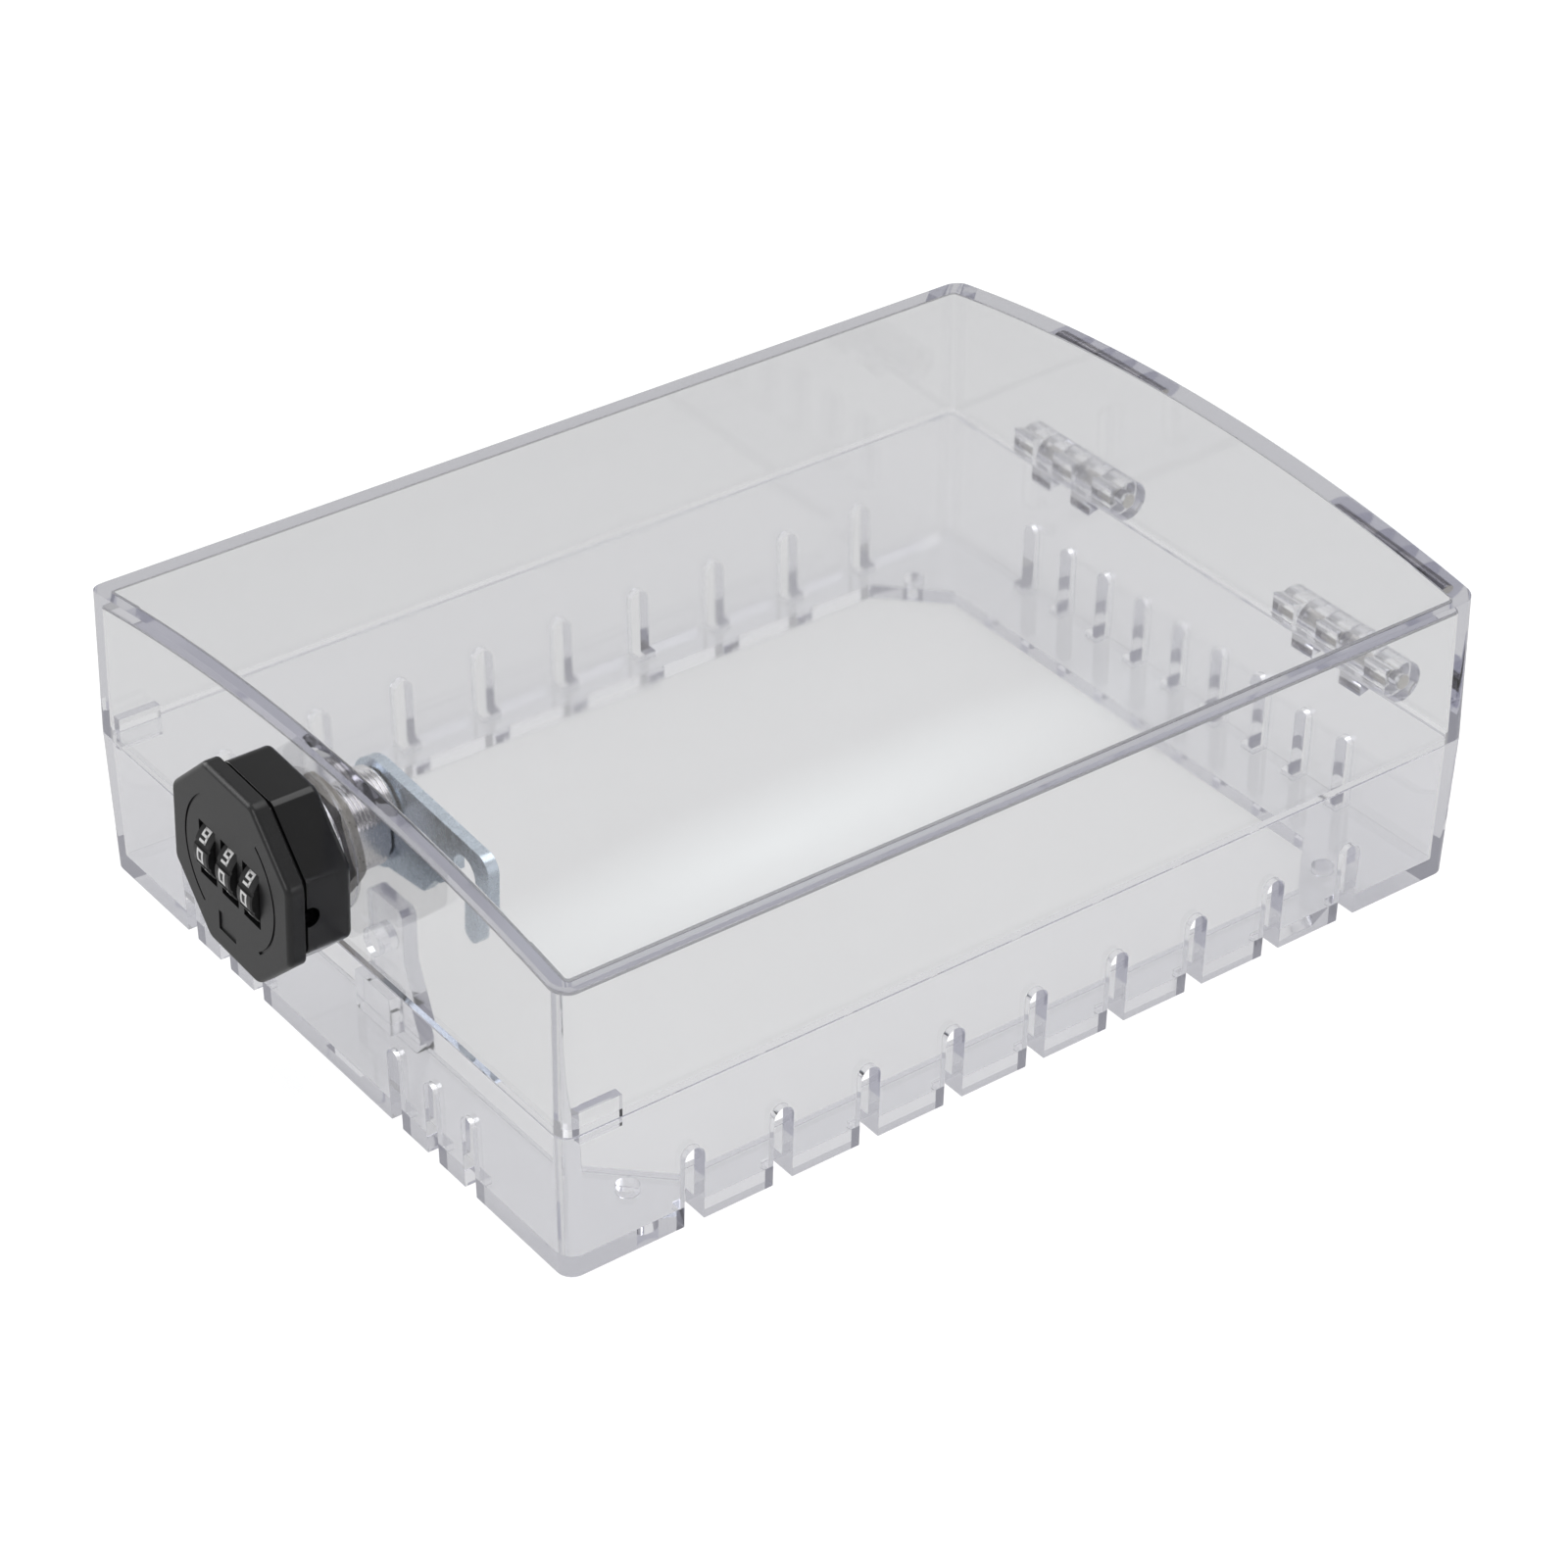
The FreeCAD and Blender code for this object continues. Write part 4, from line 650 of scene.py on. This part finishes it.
knob_back, waist_back, face_back, knob_front = 2.5, 11.4, 12.4, 15.7
housing = plate("housing", octagon(17.5, 2.6), waist_back - knob_back, level(knob_back))
round_edges(housing, lambda a, b: max(a.z, b.z) < knob_back + 0.1, 1.0, 5)
round_edges(housing, lambda a, b: min(a.z, b.z) > waist_back - 0.1, 0.35, 3)
combine(housing, plate("waist", octagon(16.9, 2.4), face_back - waist_back + 1, level(waist_back - 1)), "UNION")
cavity = plate("cavity", [(-12.2, -6.7), (-10.9, -6.7), (-10.9, -13.4), (10.9, -13.4), (10.9, -6.7), (12.2, -6.7),
                          (12.2, 9.6), (-12.2, 9.6)], 9, level(4.3))
combine(housing, cavity, "DIFFERENCE")
combine(housing, rod("seat", 8.05, (0, 0, 1), (0, 0, 3.4), 72), "DIFFERENCE")
combine(housing, block("lug_seat", (-6.65, 0, 1), (6.65, 14.05, 3.4)), "DIFFERENCE")
combine(housing, block("pawl_way", (-1.8, -11.8, 1), (1.8, -8.7, 6)), "DIFFERENCE")
combine(housing, rod("axle_bore", 1.37, (-15.9, 0, 10.9), (19, 0, 10.9), 40), "DIFFERENCE")
combine(housing, rod("reset_hole", 2.0, (13.8, 0, 10.9), (19, 0, 10.9), 48), "DIFFERENCE")
ease_edges(housing, 0.12, 2, 50)
settle(housing, knob_frame)
smooth(housing, 30)


def black_lacquer():
    """Glossy black lacquer with faint orange peel and a soft cloudy change in its tone and gloss."""
    material, nodes, links, shader = new_material("black_lacquer")
    shader.inputs["Specular IOR Level"].default_value = 0.5
    place = nodes.new("ShaderNodeTexCoord")
    peel = nodes.new("ShaderNodeTexNoise")
    peel.inputs["Scale"].default_value = 420
    peel.inputs["Detail"].default_value = 3
    links.new(place.outputs["Object"], peel.inputs["Vector"])
    cloud = nodes.new("ShaderNodeTexNoise")
    cloud.inputs["Scale"].default_value = 90
    cloud.inputs["Detail"].default_value = 4
    links.new(place.outputs["Object"], cloud.inputs["Vector"])
    colour = nodes.new("ShaderNodeMix")
    colour.data_type = "RGBA"
    colour.inputs["A"].default_value = (0.002, 0.002, 0.0022, 1)
    colour.inputs["B"].default_value = (0.006, 0.006, 0.0066, 1)
    links.new(cloud.outputs["Fac"], colour.inputs["Factor"])
    links.new(colour.outputs["Result"], shader.inputs["Base Color"])
    gloss = nodes.new("ShaderNodeMapRange")
    gloss.inputs["To Min"].default_value = 0.1
    gloss.inputs["To Max"].default_value = 0.24
    links.new(cloud.outputs["Fac"], gloss.inputs["Value"])
    links.new(gloss.outputs["Result"], shader.inputs["Roughness"])
    relief = nodes.new("ShaderNodeBump")
    relief.inputs["Strength"].default_value = 0.1
    relief.inputs["Distance"].default_value = 0.00008
    links.new(peel.outputs["Fac"], relief.inputs["Height"])
    links.new(relief.outputs["Normal"], shader.inputs["Normal"])
    return material


lacquer = black_lacquer()
dress(housing, lacquer)
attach(housing, "knob")
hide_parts("knob_housing")

# Knob face: the front plate, satin black with a fine blasted grain, a bevelled rim of the same finish,
# two ring grooves, and three windows whose ends curve round the dials. The badge places are left bare.
face = plate("face", octagon(18.75, 2.6), knob_front - face_back, level(face_back))
round_edges(face, lambda a, b: min(a.z, b.z) > knob_front - 0.1, 1.1, 6)
round_edges(face, lambda a, b: max(a.z, b.z) < face_back + 0.1, 0.3, 2)
for number in (-1, 0, 1):
    combine(face, block("window", (7 * number - 2.65, -5.7, 10), (7 * number + 2.65, 5.7, 17)), "DIFFERENCE")
    relief_cut = rod("relief", 6.7, (7 * number - 2.65, 0, 10.9), (7 * number + 2.65, 0, 10.9), 72)
    combine(face, relief_cut, "DIFFERENCE")
combine(face, rod("channel", 3.9, (-12.2, 0, 10.9), (12.2, 0, 10.9), 64), "DIFFERENCE")
for side in (0, 180):
    ring = arc(0, 0, 14.5, side - 52, side + 52, 44) + arc(0, 0, 14.0, side + 52, side - 52, 44)
    combine(face, plate("groove", ring, 2, level(knob_front - 0.35)), "DIFFERENCE")
badge = [(-4.2, -14.3), (1.2, -14.3), (1.2, -10.3), (-4.2, -10.3)]
combine(face, plate("badge", badge, 2, level(knob_front - 0.3)), "DIFFERENCE")
ease_edges(face, 0.08, 2, 50)
settle(face, knob_frame)
smooth(face, 30)


def satin_black():
    """Blasted satin black: a very fine sparkle of grain, a little lighter than the lacquer."""
    material, nodes, links, shader = new_material("satin_black")
    shader.inputs["Specular IOR Level"].default_value = 0.42
    place = nodes.new("ShaderNodeTexCoord")
    grain = nodes.new("ShaderNodeTexNoise")
    grain.inputs["Scale"].default_value = 3600
    grain.inputs["Detail"].default_value = 4
    links.new(place.outputs["Object"], grain.inputs["Vector"])
    colour = nodes.new("ShaderNodeMix")
    colour.data_type = "RGBA"
    colour.inputs["A"].default_value = (0.006, 0.006, 0.0065, 1)
    colour.inputs["B"].default_value = (0.016, 0.016, 0.017, 1)
    links.new(grain.outputs["Fac"], colour.inputs["Factor"])
    links.new(colour.outputs["Result"], shader.inputs["Base Color"])
    gloss = nodes.new("ShaderNodeMapRange")
    gloss.inputs["To Min"].default_value = 0.24
    gloss.inputs["To Max"].default_value = 0.42
    links.new(grain.outputs["Fac"], gloss.inputs["Value"])
    links.new(gloss.outputs["Result"], shader.inputs["Roughness"])
    relief = nodes.new("ShaderNodeBump")
    relief.inputs["Strength"].default_value = 0.25
    relief.inputs["Distance"].default_value = 0.00004
    links.new(grain.outputs["Fac"], relief.inputs["Height"])
    links.new(relief.outputs["Normal"], shader.inputs["Normal"])
    return material


dress(face, satin_black())
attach(face, "knob")
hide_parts("knob_face")

# Dials: moulded black rings with ten faces parted by round grooves, and squared white numbers pad-printed
# on the faces. All three stand at nought, with nine above it, as they leave the works.
dial_depth = 10.9


def moulded_black():
    material, nodes, links, shader = new_material("moulded_black")
    place = nodes.new("ShaderNodeTexCoord")
    grain = nodes.new("ShaderNodeTexNoise")
    grain.inputs["Scale"].default_value = 1500
    links.new(place.outputs["Object"], grain.inputs["Vector"])
    colour = nodes.new("ShaderNodeMix")
    colour.data_type = "RGBA"
    colour.inputs["A"].default_value = (0.008, 0.008, 0.008, 1)
    colour.inputs["B"].default_value = (0.022, 0.022, 0.023, 1)
    links.new(grain.outputs["Fac"], colour.inputs["Factor"])
    links.new(colour.outputs["Result"], shader.inputs["Base Color"])
    gloss = nodes.new("ShaderNodeMapRange")
    gloss.inputs["To Min"].default_value = 0.28
    gloss.inputs["To Max"].default_value = 0.5
    links.new(grain.outputs["Fac"], gloss.inputs["Value"])
    links.new(gloss.outputs["Result"], shader.inputs["Roughness"])
    return material


def printed_white():
    material, nodes, links, shader = new_material("printed_white")
    place = nodes.new("ShaderNodeTexCoord")
    wear = nodes.new("ShaderNodeTexNoise")
    wear.inputs["Scale"].default_value = 2200
    links.new(place.outputs["Object"], wear.inputs["Vector"])
    colour = nodes.new("ShaderNodeMix")
    colour.data_type = "RGBA"
    colour.inputs["A"].default_value = (0.7, 0.7, 0.7, 1)
    colour.inputs["B"].default_value = (0.86, 0.86, 0.86, 1)
    links.new(wear.outputs["Fac"], colour.inputs["Factor"])
    links.new(colour.outputs["Result"], shader.inputs["Base Color"])
    shader.inputs["Roughness"].default_value = 0.45
    return material


dial_black, number_white = moulded_black(), printed_white()
strokes = {  # the squared numbers, as bars between corner points of a 2 by 3 grid
    0: "ABFEA", 1: "BF", 2: "ABDCEF", 3: "ABFE CD", 4: "ACD BF", 5: "BACDFE", 6: "BAEFDC", 7: "ABF",
    8: "ABFEA CD", 9: "DCABFE"}
corners = {"A": (-0.72, 1.1), "B": (0.72, 1.1), "C": (-0.72, 0), "D": (0.72, 0), "E": (-0.72, -1.1), "F": (0.72, -1.1)}


def number_bars(digit, place, middle):
    """A printed number: thin bars wrapped on the dial's face, a fiftieth of a millimetre proud."""
    bars = []
    for run in strokes[digit].split():
        for first, last in zip(run, run[1:]):
            (x1, y1), (x2, y2) = corners[first], corners[last]
            half = 0.24
            low = (min(x1, x2) - half, min(y1, y2) - half, -0.1)
            high = (max(x1, x2) + half, max(y1, y2) + half, 0.03)
            bar = block("bar", low, high)
            bars.append(bar)
    pick(bars[0])
    for bar in bars[1:]:
        combine(bars[0], bar, "UNION")
    number = bars[0]
    pick(number)
    bpy.ops.object.mode_set(mode="EDIT")
    bpy.ops.mesh.select_all(action="SELECT")
    for cut in range(-4, 5):
        bpy.ops.mesh.select_all(action="SELECT")
        bpy.ops.mesh.bisect(plane_co=(0, cut * 0.3 * mm, 0), plane_no=(0, 1, 0))
    bpy.ops.object.mode_set(mode="OBJECT")
    turn = math.radians(-36 * digit)
    for vertex in number.data.vertices:
        x, y, z = vertex.co / mm
        angle = turn + y / 6.4
        reach = 6.4 + z
        vertex.co = Vector((middle + x, reach * math.sin(angle), dial_depth + reach * math.cos(angle))) * mm
    settle(number, place)
    return number


for number in (1, 2, 3):
    middle = 7 * (number - 2)
    rim = 6.4
    half = 2.3
    outline = [(2.56, -half), (rim - 0.25, -half), (rim, 0.25 - half), (rim, half - 0.25), (rim - 0.25, half),
               (3.9, half), (3.9, half - 2.0), (2.56, half - 2.0)]
    dial = turned("dial_ring_%d" % number, outline, 100)
    settle(dial, facing((middle, 0, dial_depth), (0, 1, 0), (0, 0, 1)))
    for step in range(10):
        turn = math.radians(18 + 36 * step)
        y, z = rim * math.sin(turn), dial_depth + rim * math.cos(turn)
        combine(dial, rod("groove", 0.45, (middle - 3, y, z), (middle + 3, y, z), 20), "DIFFERENCE")
    settle(dial, knob_frame)
    smooth(dial, 30)
    dress(dial, dial_black)
    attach(dial, "dial_%d" % number)
    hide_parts("dial_%d" % number)
    prints = [number_bars(digit, knob_frame, middle) for digit in range(10)]
    pick(prints[0])
    for print_ in prints[1:]:
        print_.select_set(True)
    bpy.ops.object.join()
    prints[0].name = "numbers_%d" % number
    dress(prints[0], number_white)
    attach(prints[0], "dial_%d" % number)

# Works inside the knob: turned brass code sleeves, steel axle, lock bar, detent leaf and small screws,
# and the spindle that carries the cam. They keep the solids' shapes, with their own finishes.
brass = bright_metal("sleeve_brass", (0.72, 0.55, 0.28), 0.28, (200, 900, 900), 0.08, 0.2)
inner_steel = bright_metal("inner_steel", (0.52, 0.52, 0.53), 0.3, (300, 300, 300), 0.1, 0.2)
for node in ("sleeve_1", "sleeve_2", "sleeve_3"):
    dress(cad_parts[node], brass)
for node in ("reset_axle", "lock_bar", "detent_spring", "spindle"):
    dress(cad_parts[node], inner_steel)
for node in ("face_screws", "spindle_screws"):
    dress(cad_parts[node], screw_zinc)

# Compression springs: coiled from hard-drawn wire. One returns the reset axle; two press the lock bar back.
# Each is held at one end by the knob; the coils here are fixed in place and don't follow the moving pieces.


def coil(name, radius, wire, low, high, turns, place):
    """A wire wound about Z between two heights: its round section screwed upwards, with both ends closed."""
    clear_selection()
    bpy.ops.mesh.primitive_circle_add(vertices=10, radius=wire / 2 * mm, fill_type="NOTHING",
                                      rotation=(math.pi / 2, 0, 0))
    piece = bpy.context.object
    piece.name = name
    settle(piece, Matrix.Translation(Vector((radius, 0, low + wire / 2)) * mm))
    screw = piece.modifiers.new("wind", "SCREW")
    screw.axis = "Z"
    screw.angle = math.tau * turns
    screw.screw_offset = (high - low - wire) * mm
    screw.steps = screw.render_steps = 24 * turns
    bpy.ops.object.modifier_apply(modifier=screw.name)
    bpy.ops.object.mode_set(mode="EDIT")
    bpy.ops.mesh.select_all(action="SELECT")
    bpy.ops.mesh.fill_holes(sides=0)
    bpy.ops.mesh.select_all(action="SELECT")
    bpy.ops.mesh.normals_make_consistent(inside=False)
    bpy.ops.object.mode_set(mode="OBJECT")
    settle(piece, place)
    smooth(piece, 50)
    return piece


spring_wire = bright_metal("spring_wire", (0.45, 0.45, 0.46), 0.25, (400, 400, 400), 0.08, 0.15)
reset_spring = coil("reset_coil", 1.1, 0.4, -15.55, -13.15, 2,
                    knob_frame @ facing((0, 0, 10.9), (0, 0, -1), (0, 1, 0)))
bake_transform(reset_spring)
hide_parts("reset_spring")
bar_coils = [coil("bar_coils", 1.3, 0.4, 7.15, 12.35, 5, knob_frame @ facing((side, -10.85, 0), (1, 0, 0), (0, 1, 0)))
             for side in (-6, 6)]
pick(bar_coils[0])
bar_coils[1].select_set(True)
bpy.ops.object.join()
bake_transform(bar_coils[0])
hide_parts("bar_springs")
for spring in (reset_spring, bar_coils[0]):
    dress(spring, spring_wire)

# Studio: a pale floor that goes out white, soft panels overhead, and the camera at the photograph's angle.
bpy.ops.mesh.primitive_plane_add(size=8, location=(0, 0, -0.0002))
floor = bpy.context.object
floor.name = "studio_floor"


def seen_by(nodes, links, by_eye, mirrored, through, otherwise):
    """A strength that depends on which ray asks: the eye, a reflection, a ray through plastic, or light."""
    path = nodes.new("ShaderNodeLightPath")
    result = None
    for name, share in (("Is Camera Ray", by_eye), ("Is Reflection Ray", mirrored), ("Is Transmission Ray", through)):
        part = nodes.new("ShaderNodeMath")
        part.operation = "MULTIPLY_ADD"
        part.inputs[1].default_value = share - otherwise
        part.inputs[2].default_value = otherwise
        links.new(path.outputs[name], part.inputs[0])
        if result is not None:
            links.new(result.outputs["Value"], part.inputs[2])
        result = part
    return result.outputs["Value"]


floor_paint, nodes, links, shader = new_material("floor_paint")
shader.inputs["Base Color"].default_value = (0.25, 0.25, 0.25, 1)
shader.inputs["Roughness"].default_value = 0.9
shader.inputs["Specular IOR Level"].default_value = 0.0
glow = nodes.new("ShaderNodeEmission")
links.new(seen_by(nodes, links, 0.85, 0.4, 0.445, 0.0), glow.inputs["Strength"])
both = nodes.new("ShaderNodeAddShader")
links.new(shader.outputs["BSDF"], both.inputs[0])
links.new(glow.outputs["Emission"], both.inputs[1])
links.new(both.outputs["Shader"], nodes["Material Output"].inputs["Surface"])
dress(floor, floor_paint)

world = bpy.data.worlds.new("studio")
bpy.context.scene.world = world
world.use_nodes = True
nodes, links = world.node_tree.nodes, world.node_tree.links
sky = nodes["Background"]
sky.inputs["Color"].default_value = (1, 1, 1, 1)
links.new(seen_by(nodes, links, 1.0, 0.46, 0.8, 0.4), sky.inputs["Strength"])


def panel(name, place, aim, width, height, power):
    lamp = bpy.data.lights.new(name, "AREA")
    lamp.shape = "RECTANGLE"
    lamp.size, lamp.size_y, lamp.energy = width, height, power
    lamp_object = bpy.data.objects.new(name, lamp)
    bpy.context.collection.objects.link(lamp_object)
    lamp_object.location = place
    lamp_object.rotation_euler = (Vector(aim) - Vector(place)).to_track_quat("-Z", "Y").to_euler()
    return lamp_object


back_panel = panel("back_panel", (0.85, 0.8, 1.15), (0, 0, 0.03), 1.3, 0.5, 9)
back_panel.visible_glossy = back_panel.visible_transmission = False
panel("top_panel", (0.15, 0.0, 1.45), (0, 0, 0.03), 1.2, 1.2, 8)
lock_pieces = bpy.data.collections.new("lock_pieces")
for piece in (housing, face, barrel, nut, cam, cam_screw):
    lock_pieces.objects.link(piece)
for name, place, width, height, power in (("left_sheen", (-0.65, 1.0, 0.47), 0.8, 0.85, 7),
                                          ("right_sheen", (0.4, -1.05, 0.3), 0.5, 0.5, 3)):
    sheen = panel(name, place, (-0.1, 0, 0.05), width, height, power)
    sheen.visible_diffuse = sheen.visible_transmission = False
    sheen.light_linking.receiver_collection = lock_pieces
panel("left_panel", (-1.4, -0.3, 0.7), (0, 0, 0.04), 0.7, 0.7, 5)

bpy.ops.mesh.primitive_circle_add(vertices=64, radius=1, fill_type="NGON", location=(0.64, 0.565, 1.1))
glow_sheet = bpy.context.object
glow_sheet.name = "glow_sheet"
glow_sheet.rotation_euler = (math.pi, 0, math.radians(10))
glow_sheet.scale = (0.29, 0.14, 1)
glow_paint, nodes, links, shader = new_material("glow_paint")
nodes.remove(shader)
place = nodes.new("ShaderNodeTexCoord")
fall = nodes.new("ShaderNodeTexGradient")
fall.gradient_type = "SPHERICAL"
links.new(place.outputs["Object"], fall.inputs["Vector"])
level_up = nodes.new("ShaderNodeMath")
level_up.operation = "MULTIPLY"
level_up.inputs[1].default_value = 1.2
links.new(fall.outputs["Fac"], level_up.inputs[0])
glow = nodes.new("ShaderNodeEmission")
glow.inputs["Color"].default_value = (0.9, 1.0, 1.0, 1)
links.new(level_up.outputs["Value"], glow.inputs["Strength"])
open_air = nodes.new("ShaderNodeBsdfTransparent")
lit = nodes.new("ShaderNodeAddShader")
links.new(glow.outputs["Emission"], lit.inputs[0])
links.new(open_air.outputs["BSDF"], lit.inputs[1])
path = nodes.new("ShaderNodeLightPath")
unseen = nodes.new("ShaderNodeMixShader")
links.new(path.outputs["Is Camera Ray"], unseen.inputs["Fac"])
links.new(lit.outputs["Shader"], unseen.inputs[1])
links.new(open_air.outputs["BSDF"], unseen.inputs[2])
links.new(unseen.outputs["Shader"], nodes["Material Output"].inputs["Surface"])
dress(glow_sheet, glow_paint)

azimuth, elevation, roll = math.radians(-37.141), math.radians(34.222), math.radians(0.536)
back = Vector((math.sin(azimuth) * math.cos(elevation), -math.cos(azimuth) * math.cos(elevation), math.sin(elevation)))
right = Vector((0, 0, 1)).cross(back).normalized()
above = back.cross(right)
right, above = (right * math.cos(roll) + above * math.sin(roll), above * math.cos(roll) - right * math.sin(roll))
camera_data = bpy.data.cameras.new("camera")
camera_data.lens = 102.25
camera_data.sensor_width = 36
camera_data.clip_start = 0.01
camera = bpy.data.objects.new("camera", camera_data)
bpy.context.collection.objects.link(camera)
camera.matrix_world = Matrix.Translation(Vector((0.086528, 0.113458, -0.078763)) + back * 0.992044) @ Matrix(
    (right, above, back)).transposed().to_4x4()
bpy.context.scene.camera = camera
bpy.context.scene.view_settings.view_transform = "Standard"
